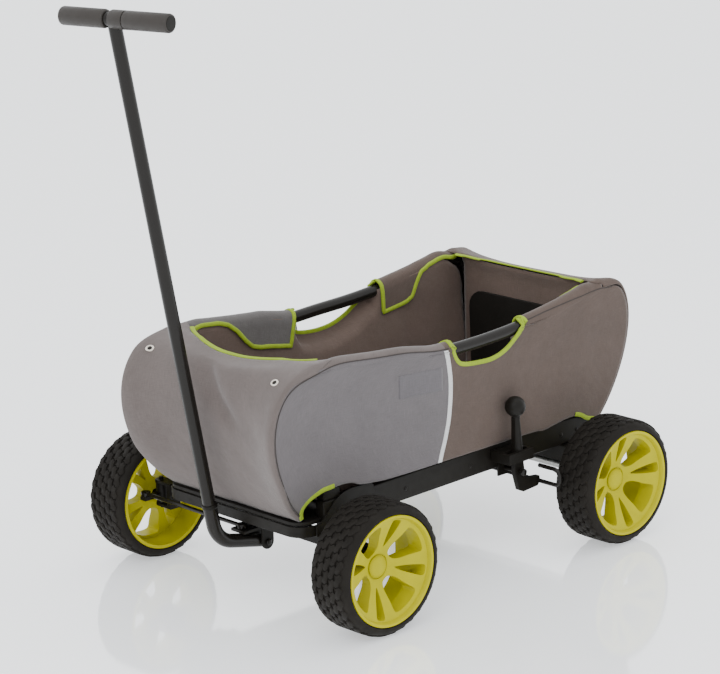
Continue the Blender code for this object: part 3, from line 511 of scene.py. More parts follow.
def side_point(along, up, sign):
    """The side panel's flat face between hem, ends and the start of the roll over the tube."""
    place = along * (len(HEM_RUN) - 1)
    k = min(int(place), len(HEM_RUN) - 2)
    hem = Vector(HEM_RUN[k]).lerp(Vector(HEM_RUN[k + 1]), place - k)
    top = Vector(bezier(TOP_EDGE, along))
    top.y += rim_lift(top.x, sign) - RIM_ROLL
    front, rear = inset(FRONT_EDGE, up, 1), inset(REAR_EDGE, up, -1)
    corners = [Vector(HEM_RUN[0]), Vector(HEM_RUN[-1]),
               inset(FRONT_EDGE, 1.0, 1), inset(REAR_EDGE, 1.0, -1)]
    return ((1 - up) * hem + up * top + (1 - along) * front + along * rear
            - (1 - along) * (1 - up) * corners[0] - along * (1 - up) * corners[1]
            - (1 - along) * up * corners[2] - along * up * corners[3])


def along_at(length):
    """How far along the top edge a length is."""
    low, high = 0.0, 1.0
    for _ in range(24):
        middle = (low + high) / 2
        if bezier(TOP_EDGE, middle)[0] < length:
            low = middle
        else:
            high = middle
    return low


def rim_height(length):
    """Height of the rim's line at a length, before rim_lift."""
    return bezier(TOP_EDGE, along_at(length))[1]


def rim_lift(length, sign):
    """How much higher than its tube's line the cloth runs: it bridges the tube's dip, and it dips
    at the rear."""
    lift = 0.0085 * ease((length + 0.03) / 0.07) * (1 - ease((length - 0.165) / 0.085))
    lift -= REAR_DROP * ease((length - 0.615) / 0.03)
    if sign < 0:
        lift += 0.0080 * ease((length - 0.36) / 0.12) * (1 - ease((length - 0.60) / 0.05))
    return lift


def folds(length, height, sign):
    """Relief of the stretched cloth: soft waves, and creases running up from the hem."""
    seed = 3.1 * sign
    wave = noise.noise(Vector((length * 7, height * 9, seed))) * 0.0016
    wave += noise.noise(Vector((length * 22, height * 11, seed + 5))) * 0.0007
    hem = ease((0.30 - height) / 0.12)
    crease = noise.noise(Vector(((length - 0.35 * height) * 30, height * 3, seed + 9)))
    slant = noise.noise(Vector(((length + 0.9 * height) * 26, height * 4, seed + 13)))
    brake = math.exp(-((length - 0.42) / 0.07) ** 2 - ((height - 0.27) / 0.06) ** 2)
    front = math.exp(-((length + 0.02) / 0.08) ** 2) * ease((0.29 - height) / 0.08)
    return wave + 0.0018 * crease * hem + 0.0022 * slant * brake + 0.0030 * crease * front


def edge_fade(along, up):
    """Folds die out at the seams."""
    return ease(min(along, 1 - along) / 0.05) * ease((1 - up) / 0.10) * mix(0.4, 1.0, ease(up / 0.1))


def shell_point(sign, along, turn):
    """A point on the side cover. turn 0 to 1 climbs from the hem to the tube, 1 to 2 goes over it,
    and past 2 the flap hangs inside, FLAP_UNIT to the unit."""
    if turn <= 1:
        length, height = side_point(along, turn, sign)
        x = half_width(length, height) + folds(length, height, sign) * edge_fade(along, turn)
        return Vector((sign * x, y_at(length), height))
    outside = bezier(TOP_EDGE, along)[0]
    inside = INNER_FRONT + (INNER_REAR - INNER_FRONT) * along
    over = min(turn - 1, 1.0)
    length = mix(outside, inside, ease(over))
    height = rim_height(length) + rim_lift(length, sign)
    # the ends' covers lap over the roll
    under = 0.0012 * (1 - ease((length - 0.006) / 0.016)) + 0.0012 * ease((length - 0.630) / 0.016)
    under *= ease((over - 0.10) / 0.14)
    angle = over * math.pi
    x = TUBE_X + (RIM_ROLL - under) * math.cos(angle)
    z = height - RIM_ROLL + (RIM_ROLL - under) * math.sin(angle)
    z += 0.0005 * noise.noise(Vector((length * 40, 7 * sign, 0.5)))
    if turn > 2:
        depth = (turn - 2) * FLAP_UNIT
        z -= depth
        ripple = noise.noise(Vector((length * 24, depth * 20, 2.0 * sign)))
        x -= 0.0012 + 0.0022 * ease(depth / 0.04) * (ripple + 0.35)
    return Vector((sign * x, y_at(length), z))


def flap_end(length):
    """Where the side cover ends inside the tub, as a turn of shell_point."""
    depth = at_length(FLAP_FRONT if length < 0.35 else FLAP_REAR, length)
    if depth < RIM_ROLL:
        return 1 + (math.pi - math.asin((RIM_ROLL - depth) / RIM_ROLL)) / math.pi
    return 2 + (depth - RIM_ROLL) / FLAP_UNIT


def roll_point(sign, length, turn):
    """A point of the roll or the flap at a length, with the cloth's outward normal there."""
    low, high = 0.0, 1.0
    for _ in range(22):
        middle = (low + high) / 2
        if shell_point(sign, middle, turn).y < y_at(length):
            low = middle
        else:
            high = middle
    angle = min(turn - 1, 1.0) * math.pi
    return shell_point(sign, low, turn), Vector((sign * math.cos(angle), 0.0, math.sin(angle)))


def on_side(sign, length, height, lift=0.0):
    """A point on the side's outside at a length and height, lifted off the cloth. Below the roll
    it's found by Newton's steps in (along, turn)."""
    out = Vector((sign * lift, 0, 0))
    above = height - (rim_height(length) + rim_lift(length, sign) - RIM_ROLL)
    if above > 0:
        return roll_point(sign, length, 1 + math.asin(min(above / RIM_ROLL, 1.0)) / math.pi)[0] + out
    along = min(max((length + 0.07) / 0.76, 0.02), 0.98)
    turn = min(max((height - 0.20) / 0.21, 0.02), 0.95)
    step = 0.002
    near_enough = 0.00002
    for _ in range(12):
        here = shell_point(sign, along, turn)
        miss_y, miss_z = y_at(length) - here.y, height - here.z
        if abs(miss_y) + abs(miss_z) < near_enough:
            break
        back = shell_point(sign, along + step, turn)
        up = shell_point(sign, along, turn + step)
        y_along, z_along = (back.y - here.y) / step, (back.z - here.z) / step
        y_turn, z_turn = (up.y - here.y) / step, (up.z - here.z) / step
        size = y_along * z_turn - y_turn * z_along
        if abs(size) < 1e-9:
            break
        along += 0.9 * (miss_y * z_turn - y_turn * miss_z) / size
        turn += 0.9 * (y_along * miss_z - z_along * miss_y) / size
        along = min(max(along, 0.0), 0.995)
        turn = min(max(turn, 0.0), 0.996)
    return shell_point(sign, along, turn) + out


# ---- covers ---------------------------------------------------------------------------------
def join_rings(body, low, high):
    """Faces between two closed rings with the same number of corners."""
    for k in range(len(low)):
        n = (k + 1) % len(low)
        body.faces.new((low[k], low[n], high[n], high[k]))


def add_prism(body, outline, low_x, high_x):
    """A solid from a world (Y, Z) outline between two X planes."""
    low = [body.verts.new((low_x, a, b)) for a, b in outline]
    high = [body.verts.new((high_x, a, b)) for a, b in outline]
    body.faces.new(low)
    body.faces.new(high)
    join_rings(body, low, high)


def prism(name, outline, low_x, high_x):
    """A solid from an outline in (length, height), between two X planes; it cuts the cloth."""
    body = bmesh.new()
    add_prism(body, [(y_at(a), b) for a, b in outline], low_x, high_x)
    return from_bmesh(name, body, 0)


def cut(obj, cutter):
    """Takes the cutter's shape out of an object."""
    change = obj.modifiers.new("cut", "BOOLEAN")
    change.operation = "DIFFERENCE"
    change.solver = "MANIFOLD"
    change.object = cutter
    apply_modifiers(obj)
    bpy.data.objects.remove(cutter)


def make_side_cover(side, sign):
    """The side's cloth from the hem over the tube to the flaps inside, cut out at the hand-hold."""
    columns = 150
    wall_levels, roll_levels, flap_levels = 26, 12, 10
    levels = [k / wall_levels for k in range(wall_levels)]
    levels += [1 + k / ROLL_STEPS for k in range(roll_levels)]
    rows = [[] for _ in range(len(levels) + flap_levels + 1)]
    marks = [[] for _ in rows]
    for k in range(columns + 1):
        along = k / columns
        last = flap_end(INNER_FRONT + (INNER_REAR - INNER_FRONT) * along)
        start = levels[-1] + 0.04
        turns = levels + [start + (last - start) * n / flap_levels for n in range(flap_levels + 1)]
        for row, mark, turn in zip(rows, marks, turns):
            place = shell_point(sign, along, turn)
            row.append(place)
            mark.append(place.y - AXLE_Y - at_length(STRIPE_BY_HEIGHT, place.z))
    # row strips past FLAT_TURN take the flap's darker cloth, which is painted shade
    zones = [0 if turn < SEAM_TURN - 0.005 else 1 if turn < FLAT_TURN else 2 for turn in levels]
    zones += [2] * flap_levels
    cover = cloth_grid(f"side_cover_{side}", rows, FABRIC, sign > 0, zones, marks)
    for mat in (SIDE_CLOTH, RIM_CLOTH, FLAP_CLOTH_PAINTED_SHADE):
        cover.data.materials.append(mat)
    outline = NOTCH_RUN[sign]
    above_all = 0.48
    opening = outline + [(outline[-1][0], above_all), (outline[0][0], above_all)]
    xs = sorted((sign * TUBE_X, sign * 0.210))
    cut(cover, prism("hand_hold", opening, *xs))
    gap = [(length, height) for height, length in GAP_FRONT[sign]]
    gap += [(length, height) for height, length in reversed(GAP_REAR)]
    xs = sorted((sign * 0.130, sign * TUBE_X))
    cut(cover, prism("flap_gap", gap, *xs))
    keep(cover, ROOT, None, [f"cover_side_{side}"])
    make_lining(side, sign)
    make_side_trim(side, sign)


def make_lining(side, sign):
    """Inner wall of the side; at the hand-hold it comes out to meet the outer cloth."""
    columns, levels = 90, 22
    under_roll = 0.0125
    corner, corner_start = 0.055, 0.6090      # radius and start of the rounded rear corner
    outline = NOTCH_RUN[sign]
    rows = [[] for _ in range(levels + 1)]
    for k in range(columns + 1):
        length = mix(INNER_FRONT, 0.664, k / columns)
        rim = rim_height(min(length, 0.654)) + rim_lift(length, sign) - under_roll
        rim -= corner - math.sqrt(max(corner ** 2 - max(length - corner_start, 0.0) ** 2, 0.0))
        open_here = outline[0][0] < length < outline[-1][0]
        notch = at_length(outline, length) if open_here else 1.0
        top = min(rim, notch)
        for n, row in enumerate(rows):
            height = mix(LINING_FOOT, top, n / levels)
            x = inner_x(height) + 0.0016
            x += 0.0016 * noise.noise(Vector((length * 8, height * 9, 4.0 * sign)))
            x += 0.0012 * noise.noise(Vector((length * 28, height * 6, 4.0 * sign + 2)))
            if notch < rim:
                x = mix(x, half_width(length, height) - 0.0020, ease((height - notch + 0.034) / 0.022))
            row.append((sign * x, y_at(length), height))
    lining = cloth_grid(f"side_lining_{side}", rows, FABRIC, sign > 0)
    keep(lining, ROOT, LINING_CLOTH)


def opening_path(sign):
    """The bound edge of a side from the front flap round the hand-hold to the rear flap, with normals."""
    path = flap_edge(sign, 0.004, 0.234)
    path += gap_edge(sign, GAP_FRONT[sign], NOTCH_RUN[sign][0], 0.348)
    for length, height in NOTCH_RUN[sign]:
        outward = Vector((sign, 0.0, 0.0))
        path.append((on_side(sign, length, height) - outward * EDGE_SET, outward))
    path += reversed(gap_edge(sign, GAP_REAR, NOTCH_RUN[sign][-1], 0.356))
    return path + flap_edge(sign, 0.4575, 0.650)


def flap_edge(sign, start, end):
    """The lower edge of a flap between two lengths."""
    lengths = [mix(start, end, k / 49) for k in range(50)]
    return [roll_point(sign, length, flap_end(length)) for length in lengths]


def gap_edge(sign, gap, outer, foot):
    """The flap's upright end at the hand-hold, from its foot up and over the tube."""
    path = []
    rim = rim_height(gap[-1][1]) + rim_lift(gap[-1][1], sign) - RIM_ROLL
    for k in range(1, 9):
        height = mix(foot, rim, k / 8)
        path.append(roll_point(sign, at_length(gap, height), 2 + (rim - height) / FLAP_UNIT))
    for k in range(1, 9):
        turn = mix(2.0, 1.06, k / 8)
        height = rim + RIM_ROLL * math.sin((turn - 1) * math.pi)
        length = mix(outer[0], at_length(gap, height), ease((turn - 1.25) / 0.5))
        path.append(roll_point(sign, length, turn))
    return path


def make_side_trim(side, sign):
    """Lime binding, the white tape, the long seams and the stitched patch."""
    path = spaced(opening_path(sign), 0.0022)
    tape_binding(f"hand_hold_binding_{side}", path, sign, thick=0.0026)
    outward = Vector((sign, 0.0, 0.0))
    front_hem = [(on_side(sign, a, z), outward) for a, z in HEM_RUN if a < 0.006]
    tape_binding(f"front_hem_binding_{side}", spaced(front_hem, 0.002), -sign)
    rear_hem = [(on_side(sign, a, z), outward) for a, z in HEM_RUN if a > 0.588]
    tape_binding(f"rear_hem_binding_{side}", spaced(rear_hem, 0.002), -sign)
    make_tape(side, sign)
    notch_front, notch_rear = NOTCH_RUN[sign][0][0], NOTCH_RUN[sign][-1][0]
    seam_radius, seam_spacing = 0.0009, 0.003
    seam = [shell_point(sign, 0.0, k / 40) for k in range(1, 41)]
    lengths = [mix(-0.010, notch_front - 0.012, k / 50) for k in range(51)]
    seam += [shell_point(sign, along_at(length), SEAM_TURN) for length in lengths]
    out = Vector((sign * 0.0006, 0.0, 0.0003))
    seam = [place + out for place in calmed(thin_out(seam, seam_spacing), 10)]
    bar(f"seam_front_{side}", seam, seam_radius, THREAD, ROOT, "grey_fabric")
    line = smooth([(notch_rear + 0.010, rim_height(notch_rear) - 0.0045), (0.548, 0.4125), (0.626, 0.4200),
                   (0.655, 0.4215), (0.685, 0.4195)], 10)
    seam = [on_side(sign, length, height) for length, height in line]
    bar(f"seam_rear_{side}", thin_out(seam, seam_spacing), seam_radius, THREAD, ROOT, "taupe_fabric")
    make_patch(side, sign)


def calmed(points, passes):
    """The same run with its small jogs averaged out."""
    points = [Vector(point) for point in points]
    for _ in range(passes):
        inner = [(a + 2 * b + c) / 4 for a, b, c in zip(points, points[1:], points[2:])]
        points = [points[0], *inner, points[-1]]
    return points


def spaced(path, spacing):
    """The same run of (point, normal) with points at least spacing apart."""
    kept = [path[0]]
    for place, normal in path[1:]:
        if (place - kept[-1][0]).length >= spacing:
            kept.append((place, normal))
    return kept


def tape_binding(name, path, side, thick=0.0015):
    """A folded tape sewn over a cloth edge: an oval section set back from the edge into the cloth.
    path has (edge point, cloth normal); side picks which hand of the path the cloth lies on."""
    half = BINDING_HALF
    past_edge = 0.0010
    body = bmesh.new()
    uv_layer = body.loops.layers.uv.new("UVMap")
    rings, reach = [], [0.0]
    sides = 12
    for k, (place, normal) in enumerate(path):
        before, after = path[max(k - 1, 0)][0], path[min(k + 1, len(path) - 1)][0]
        along = (after - before).normalized()
        into = side * along.cross(normal).normalized()
        face = into.cross(along)
        ring = []
        for n in range(sides):
            turn = 2 * math.pi * n / sides
            wide = math.copysign(abs(math.cos(turn)) ** 0.6, math.cos(turn))
            high = math.copysign(abs(math.sin(turn)) ** 0.8, math.sin(turn))
            inwards = half - past_edge + half * wide
            ring.append(body.verts.new(place + into * inwards + face * thick * high))
        rings.append(ring)
        reach.append(reach[-1] + (after - before).length / 2)
    for k, (first, second) in enumerate(zip(rings, rings[1:])):
        for n in range(sides):
            m = (n + 1) % sides
            face = body.faces.new((first[n], first[m], second[m], second[n]))
            for loop, (a, b) in zip(face.loops, ((k, n), (k, n + 1), (k + 1, n + 1), (k + 1, n))):
                loop[uv_layer].uv = (reach[a], b * 4 * half / sides)
    body.faces.new(rings[0])
    body.faces.new(rings[-1][::-1])
    obj = from_bmesh(name, body, 60)
    return keep(obj, ROOT, LIME_BINDING)


def thin_out(points, spacing):
    """The same run with points at least spacing apart."""
    return [place for place, _ in spaced([(Vector(point), None) for point in points], spacing)]


def make_tape(side, sign):
    """White woven tape over the join of the two cloths."""
    line = smooth(STRIPE, 10)
    rows = []
    for shift in (-0.0050, -0.0045, -0.0015, 0.0015, 0.0045, 0.0050):
        lift = 0.0008 if abs(shift) < 0.0047 else 0.0001
        rows.append([on_side(sign, a + shift, z, lift) for a, z in line])
    tape = cloth_grid(f"white_tape_{side}", rows, TRIM, sign > 0)
    keep(tape, ROOT, WHITE_TAPE)


def make_patch(side, sign):
    """A sewn-on rectangle of the same cloth."""
    across, down = 24, 10
    slant = 0.008
    rows = []
    for k in range(down + 1):
        height = mix(0.3345, 0.3745, k / down)
        row = []
        for n in range(across + 1):
            lift = 0.0007 if 0 < k < down and 0 < n < across else 0.0001
            row.append(on_side(sign, mix(0.152, 0.254, n / across), height - slant * n / across, lift))
        rows.append(row)
    patch = cloth_grid(f"patch_{side}", rows, TRIM, sign > 0)
    keep(patch, ROOT, PATCH_CLOTH)


def end_columns(columns, edge_columns):
    """Places across an end cover: (share of the half width, turn round the corner in radians)."""
    places = [(1.0, math.pi / 2 * k / edge_columns) for k in range(edge_columns)]
    places += [(1 - k / columns, math.pi / 2) for k in range(columns + 1)]
    mirrored = [(-share, turn) for share, turn in places]
    return mirrored + places[-2::-1]


def end_path(edge, inward, stop):
    """An end's outline from hem to opening edge as (length, height, normal, share of the roll)."""
    run = []
    for k in range(121):
        t = k / 120
        point, normal = edge_frame(edge, t, inward)
        run.append((point.x, point.y, normal, top_share(t)))
    start = edge[3][0]
    for k in range(1, 25):
        length = start + inward * 0.0035 * k
        over_tube = min(max(length, FRONT_EDGE[3][0]), REAR_EDGE[3][0])
        run.append((length, rim_height(over_tube), Vector((0.0, -1.0)), 1.0))
    kept = [run[0]]
    turned = False
    for entry in run[1:]:
        turned = turned or (entry[0] - kept[-1][0]) * inward > 0 and entry[1] > 0.35
        if turned and (entry[0] - stop) * inward > 0:
            break
        kept.append(entry)
    return kept


def evenly(path, count):
    """The path at evenly spaced places."""
    reach = [0.0]
    for a, b in zip(path, path[1:]):
        reach.append(reach[-1] + math.hypot(b[0] - a[0], b[1] - a[1]))
    out = []
    k = 0
    for n in range(count + 1):
        target = reach[-1] * n / count
        while k < len(reach) - 2 and reach[k + 1] < target:
            k += 1
        t = (target - reach[k]) / max(reach[k + 1] - reach[k], 1e-9)
        a, b = path[k], path[k + 1]
        out.append((mix(a[0], b[0], t), mix(a[1], b[1], t), a[2].lerp(b[2], t), mix(a[3], b[3], t)))
    return out


def end_stop(end, share, turn):
    """The length at which the end's cloth stops at the opening, for a place across it."""
    if end == "front":
        stop = front_lip(-0.042, share * 0.176)
        corner = FRONT_EDGE[3][0] - 0.002
    else:
        stop = INNER_REAR - 0.016 * share ** 6
        corner = REAR_EDGE[3][0] + 0.002
    return mix(stop, corner, ease(1 - turn / (math.pi / 2)))


def front_lip(middle, x):
    """The front opening's curved edge, as a length at x."""
    return middle + 0.045 * (x / OPENING_HALF) ** 2


def end_sink(end, x, height, share, up):
    """How far the end's cloth lies into the tub and how far it sags: recess, folds, slack edge."""
    relief = noise.noise(Vector((x * 9, height * 8, 11.0 if end == "front" else 17.0))) * 0.0030
    relief += noise.noise(Vector((x * 30, height * 7, 23.0))) * 0.0012 * ease((0.33 - height) / 0.12)
    recess = 0.0
    if end == "front":
        middle = (1 - share ** 4) ** 2 if abs(share) < 1 else 0.0
        recess = FRONT_RECESS * math.sin(math.pi * min(up * 1.12, 1.0)) * middle
        slack = math.exp(-((x + 0.9 * (height - 0.37) - 0.020) / 0.022) ** 2)
        relief += 0.0110 * slack * ease((height - 0.31) / 0.04) * (1 - ease((up - 0.84) / 0.12))
        relief += 0.0016 * noise.noise(Vector((x * 14 + height * 16, height * 5, 31.0)))
        sag = FRONT_SAG * ease((up - 0.78) / 0.2) * (1 - share * share)
    else:
        sag = REAR_SAG * ease((up - 0.60) / 0.3) * (1 - share ** 4)
    relief *= ease((1 - abs(share)) / 0.12) * ease((1 - up) / 0.08)
    return recess + relief, sag


def end_cover(end):
    """The cloth over one end of the tub, from the hem up and over to the edge of the opening."""
    front = end == "front"
    edge, inward = (FRONT_EDGE, 1) if front else (REAR_EDGE, -1)
    levels = 54
    columns = []
    for share, turn in end_columns(26, 7):
        path = evenly(end_path(edge, inward, end_stop(end, share, turn)), levels)
        column = []
        for k, (length, height, normal, top) in enumerate(path):
            roll = mix(BULGE[end], RIM_ROLL, top)
            inner = half_width(length, height) - roll
            out = RIM_ROLL * top - roll * math.sin(turn)
            x = inner + roll * math.cos(turn) if abs(share) == 1.0 else inner * abs(share)
            x *= 1 if share >= 0 else -1
            height += rim_lift(length, x) * top * share ** 4
            length += normal.x * out
            height += normal.y * out
            sink, sag = end_sink(end, x, height, share, k / levels)
            column.append(Vector((x, y_at(length + inward * sink), height - sag)))
        columns.append(column)
    rows = [[column[k] for column in columns] for k in range(levels + 1)]
    cover = cloth_grid(f"{end}_cover", rows, FABRIC, front)
    mat, slot = (FRONT_CLOTH, "grey_fabric") if front else (REAR_CLOTH, "taupe_fabric")
    keep(cover, ROOT, mat, [f"cover_{end}"])
    bind_opening(end, columns)
    if front:
        make_eyelets(columns)


def bind_opening(end, columns):
    """Lime binding along the end cover's edge at the opening."""
    front = end == "front"
    reach = 0.1600 if front else 0.1560
    across = Vector((1.0, 0.0, 0.0))
    places, normals = [], []
    for column in columns:
        if abs(column[-1].x) < reach:
            normal = across.cross(column[-1] - column[-2]).normalized()
            places.append(column[-1])
            normals.append(normal if normal.z > 0 else -normal)
    path = list(zip(calmed(places, 6), normals))
    tape_binding(f"{end}_opening_binding", spaced(path, 0.003), -1 if front else 1)


def make_front_lining():
    """Inner wall at the front: it hangs from the opening's edge and leans back to the floor."""
    columns = []
    lean = 0.300
    for n in range(LINING_ACROSS + 1):
        share = 2 * n / LINING_ACROSS - 1
        across = LINING_HALF * share
        lip = front_lip(-0.034, across)
        top = rim_height(max(lip, FRONT_EDGE[3][0])) - FRONT_SAG * (1 - share * share) - 0.0045
        column = []
        for k in range(LINING_DOWN + 1):
            height = mix(LINING_FOOT, top, k / LINING_DOWN)
            length = mix(0.030, lip, ease((height - lean) / (top - lean)))
            length += 0.0014 * noise.noise(Vector((across * 33, height * 10, 3.0)))
            column.append((across, y_at(length), height))
        columns.append(column)
    end_lining("front", columns)


def make_rear_lining():
    """Inner wall in front of the rear cross tube, from the opening's edge down behind the back board."""
    columns = []
    foot = 0.158
    for n in range(LINING_ACROSS + 1):
        across = LINING_HALF * (2 * n / LINING_ACROSS - 1)
        share = across / (TUBE_X - RIM_ROLL)
        top = rim_height(INNER_REAR) - REAR_DROP * share ** 4 - REAR_SAG * (1 - share ** 4) - 0.0030
        column = []
        for k in range(LINING_DOWN + 1):
            height = mix(foot, top, k / LINING_DOWN)
            length = 0.6592 - 0.0060 * ease((height - top + 0.022) / 0.022)
            length -= 0.0008 * noise.noise(Vector((across * 20, height * 9, 8.0)))
            column.append((across, y_at(length), height))
        columns.append(column)
    end_lining("rear", columns)


def end_lining(end, columns):
    """The cloth of an end's inner wall, from columns that run upwards."""
    rows = [[column[k] for column in columns] for k in range(LINING_DOWN + 1)]
    lining = cloth_grid(f"{end}_lining", rows, FABRIC, end == "front")
    keep(lining, ROOT, LINING_CLOTH)


def make_eyelets(columns):
    """Rolled metal eyelets near the top corners of the front cover, each with a black oval disc in its hole
    as painted shade.
    """
    squeeze = Matrix.Diagonal((1.0, 1.0, 0.74, 1.0))
    for side in SIDES:
        low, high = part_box(f"eyelet_{side}")
        target = (low + high) / 2
        places = [(k, n) for k in range(1, len(columns) - 1) for n in range(1, len(columns[0]) - 1)]
        k, n = min(places, key=lambda place: (columns[place[0]][place[1]] - target).length)
        across = columns[k + 1][n] - columns[k - 1][n]
        up = columns[k][n + 1] - columns[k][n - 1]
        outward = across.cross(up).normalized()
        bead = [math.radians(150 - 30 * step) for step in range(6)]
        ring = [(0.0048, 0.0006),
                *[(0.0068 + 0.0021 * math.cos(t), 0.0009 + 0.0011 * math.sin(t)) for t in bead],
                (0.0089, -0.0004), (0.0048, -0.0004)]
        # a black disc over the cloth inside the ring: painted shade standing for the dark seen through the
        # hole
        shade_disc_outline = [(0.0, 0.0005), (0.0050, 0.0005), (0.0050, -0.0002), (0.0, -0.0002)]
        eyelet = lathe_mesh(f"front_eyelet_{side}", ring, 40)
        shade_disc = lathe_mesh(f"front_eyelet_painted_shade_{side}", shade_disc_outline, 24)
        for obj, mat in ((eyelet, EYELET), (shade_disc, BOARD)):
            obj.data.transform(facing(columns[k][n] + outward * 0.0002, outward) @ squeeze)
            keep(obj, ROOT, mat, [f"eyelet_{side}"] if obj is eyelet else ())


def make_floor_mat():
    """Padded floor mat with sewn channels."""
    low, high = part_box("floor_mat")
    rows = []
    across, down = 36, 84
    channels = 4
    for k in range(down + 1):
        y = mix(low.y, high.y, k / down)
        row = []
        for n in range(across + 1):
            x = mix(low.x, high.x, n / across)
            edge = min(x - low.x, high.x - x, y - low.y, high.y - y)
            channel = abs(((y - low.y) / (high.y - low.y) * channels) % 1 - 0.5) * 2
            crown = 0.0060 * ease(edge / 0.012) - 0.0035 * ease((channel - 0.90) / 0.10) * ease(edge / 0.03)
            row.append((x, y, low.z + 0.0025 + crown + 0.0004 * noise.noise(Vector((x * 30, y * 30, 1)))))
        rows.append(row)
    mat = cloth_grid("tub_floor_mat", rows, 0.0022, False)
    keep(mat, ROOT, LINING_CLOTH, ["floor_mat"])


# ---- frame tubes ----------------------------------------------------------------------------
def hoop_path(sign):
    """Centre line of a side tube: front post, rim and rear post."""
    front = [(0.008, 0.2266), (-0.006, 0.2480), (-0.048, 0.2750), (-0.086, 0.3080),
             (-0.092, 0.3450), (-0.081, 0.3800), (-0.050, 0.4000)]
    rim = []
    for k in range(1, 8):
        length, height = bezier(TOP_EDGE, k / 8)
        height -= RIM_ROLL + RIM_SLACK
        if sign < 0:
            height += 0.006 * ease((length - 0.22) / 0.12) * (1 - ease((length - 0.56) / 0.08))
        rim.append((length, height))
    rear = [(0.664, 0.4130), (0.686, 0.3920), (0.692, 0.3580), (0.692, 0.3250), (0.692, 0.2920),
            (0.677, 0.2580), (0.650, 0.2380), (0.634, 0.2266)]
    path = []
    for length, height in smooth([*front, *rim, *rear], 8):
        across = POST_X + (UPRIGHT_X - POST_X) * ease((height - 0.230) / 0.045)
        across += (TUBE_X - UPRIGHT_X) * ease((height - 0.355) / 0.040)
        path.append((sign * across, y_at(length), height))
    return path


def make_hoops():
    """The two side tubes and the screws of their corner joints."""
    for side, sign in SIDES.items():
        bar(f"hoop_{side}", hoop_path(sign), TUBE_RADIUS, GLOSS_BLACK, ROOT, "black_powder_coat",
            [f"top_tube_{side}"], sides=8)
        low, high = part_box(f"corner_joint_{side}")
        middle = (low + high) / 2
        head = [(0.0, 0.0030), (0.0024, 0.0028), (0.0034, 0.0014), (0.0036, 0.0), (0.0, 0.0)]
        inner_face = (sign * (abs(middle.x) - 0.0144), middle.y, middle.z)
        screw = lathe_mesh(f"corner_joint_screw_{side}", head, 20, -sign, inner_face)
        keep(screw, ROOT, ZINC)


# ---- wheels ---------------------------------------------------------------------------------
def tyre_outline(inset_by):
    """Closed section of the tyre's carcass, its crown inset under the lugs."""
    half = TYRE_WIDTH / 2
    crown = WHEEL_RADIUS - inset_by
    ring = WHEEL_RADIUS - TYRE_SHOULDER
    side = [(ring + (crown - ring) * math.sin(t), half - TYRE_SHOULDER * (1 - math.cos(t)))
            for t in [math.radians(90 * k / 9) for k in range(10)]]
    outer = [(0.0928, 0.0392), (0.0934, 0.0408), *side]
    return outer + [(r, -h) for r, h in reversed(outer)] + [(0.0899, -0.0385), (0.0899, 0.0385)]


def lug_outline(row, rows_across, count, k):
    """One tread block as (turn, place across) corners: a wavy brick that keys into its neighbours."""
    step = 2 * math.pi / count
    half = TYRE_WIDTH / 2 - 0.0085
    width = 2 * half / rows_across
    centre = -half + width * (row + 0.5)
    start = (k + 0.5 * (row % 2)) * step
    groove = 0.0008
    shape = [(0.00, -0.5), (0.16, -0.34), (0.34, -0.32), (0.52, -0.50), (0.72, -0.68), (0.88, -0.66),
             (1.00, -0.5), (1.10, -0.22), (1.00, 0.05), (0.90, 0.30), (1.00, 0.5), (0.88, 0.34),
             (0.72, 0.32), (0.52, 0.50), (0.34, 0.68), (0.16, 0.66), (0.00, 0.5), (-0.10, 0.30),
             (0.00, 0.05), (0.10, -0.22)]
    return [(start + step * (u * 0.93 + 0.035), centre + v * (width - 2 * groove)) for u, v in shape]


def crown_at(across, radius):
    """Radius of the tyre's surface at a place across it."""
    beyond = abs(across) - (TYRE_WIDTH / 2 - TYRE_SHOULDER)
    if beyond <= 0:
        return radius
    drop = math.sqrt(max(1 - (beyond / TYRE_SHOULDER) ** 2, 0.0))
    return (WHEEL_RADIUS - TYRE_SHOULDER) + (radius - WHEEL_RADIUS + TYRE_SHOULDER) * drop


def make_tyre(name, side, centre, body_name):
    """Carcass and tread; every tread block is a shallow solid that narrows towards its top."""
    depth = 0.0022
    carcass = lathe_mesh(f"carcass_{name}", tyre_outline(depth), 96, side, centre)
    keep(carcass, body_name, RUBBER, [f"tyre_{name}"])
    body = bmesh.new()
    rows_across, count = 5, 32
    for row in range(rows_across):
        for k in range(count):
            outline = lug_outline(row, rows_across, count, k)
            middle = [sum(c[n] for c in outline) / len(outline) for n in range(2)]
            rings = []
            for lift, shrink in ((-0.0010, 1.0), (depth - 0.0006, 1.0), (depth, 0.90)):
                ring = []
                for turn, across in outline:
                    turn, across = (mix(m, c, shrink) for m, c in zip(middle, (turn, across)))
                    radius = crown_at(across, WHEEL_RADIUS - depth) + lift
                    y, z = radius * math.cos(turn), radius * math.sin(turn)
                    ring.append(body.verts.new((centre[0] + side * across, centre[1] + y, centre[2] + z)))
                rings.append(ring)
            for low, high in zip(rings, rings[1:]):
                join_rings(body, low, high)
            body.faces.new(rings[-1])
            body.faces.new(rings[0][::-1])
    tread = from_bmesh(f"tread_{name}", body, 50)
    keep(tread, body_name, RUBBER)


def rounded_loop(points):
    """A closed outline with its corners softened."""
    count, steps = len(points), 3
    run = []
    for k in range(count):
        a, b, c, d = (Vector(points[(k + n) % count]) for n in range(-1, 3))
        for step in range(steps):
            t = step / steps
            place = 0.5 * (2 * b + (c - a) * t + (2 * a - 5 * b + 4 * c - d) * t * t
                           + (3 * b - a - 3 * c + d) * t ** 3)
            run.append((place.x, place.y))
    return run


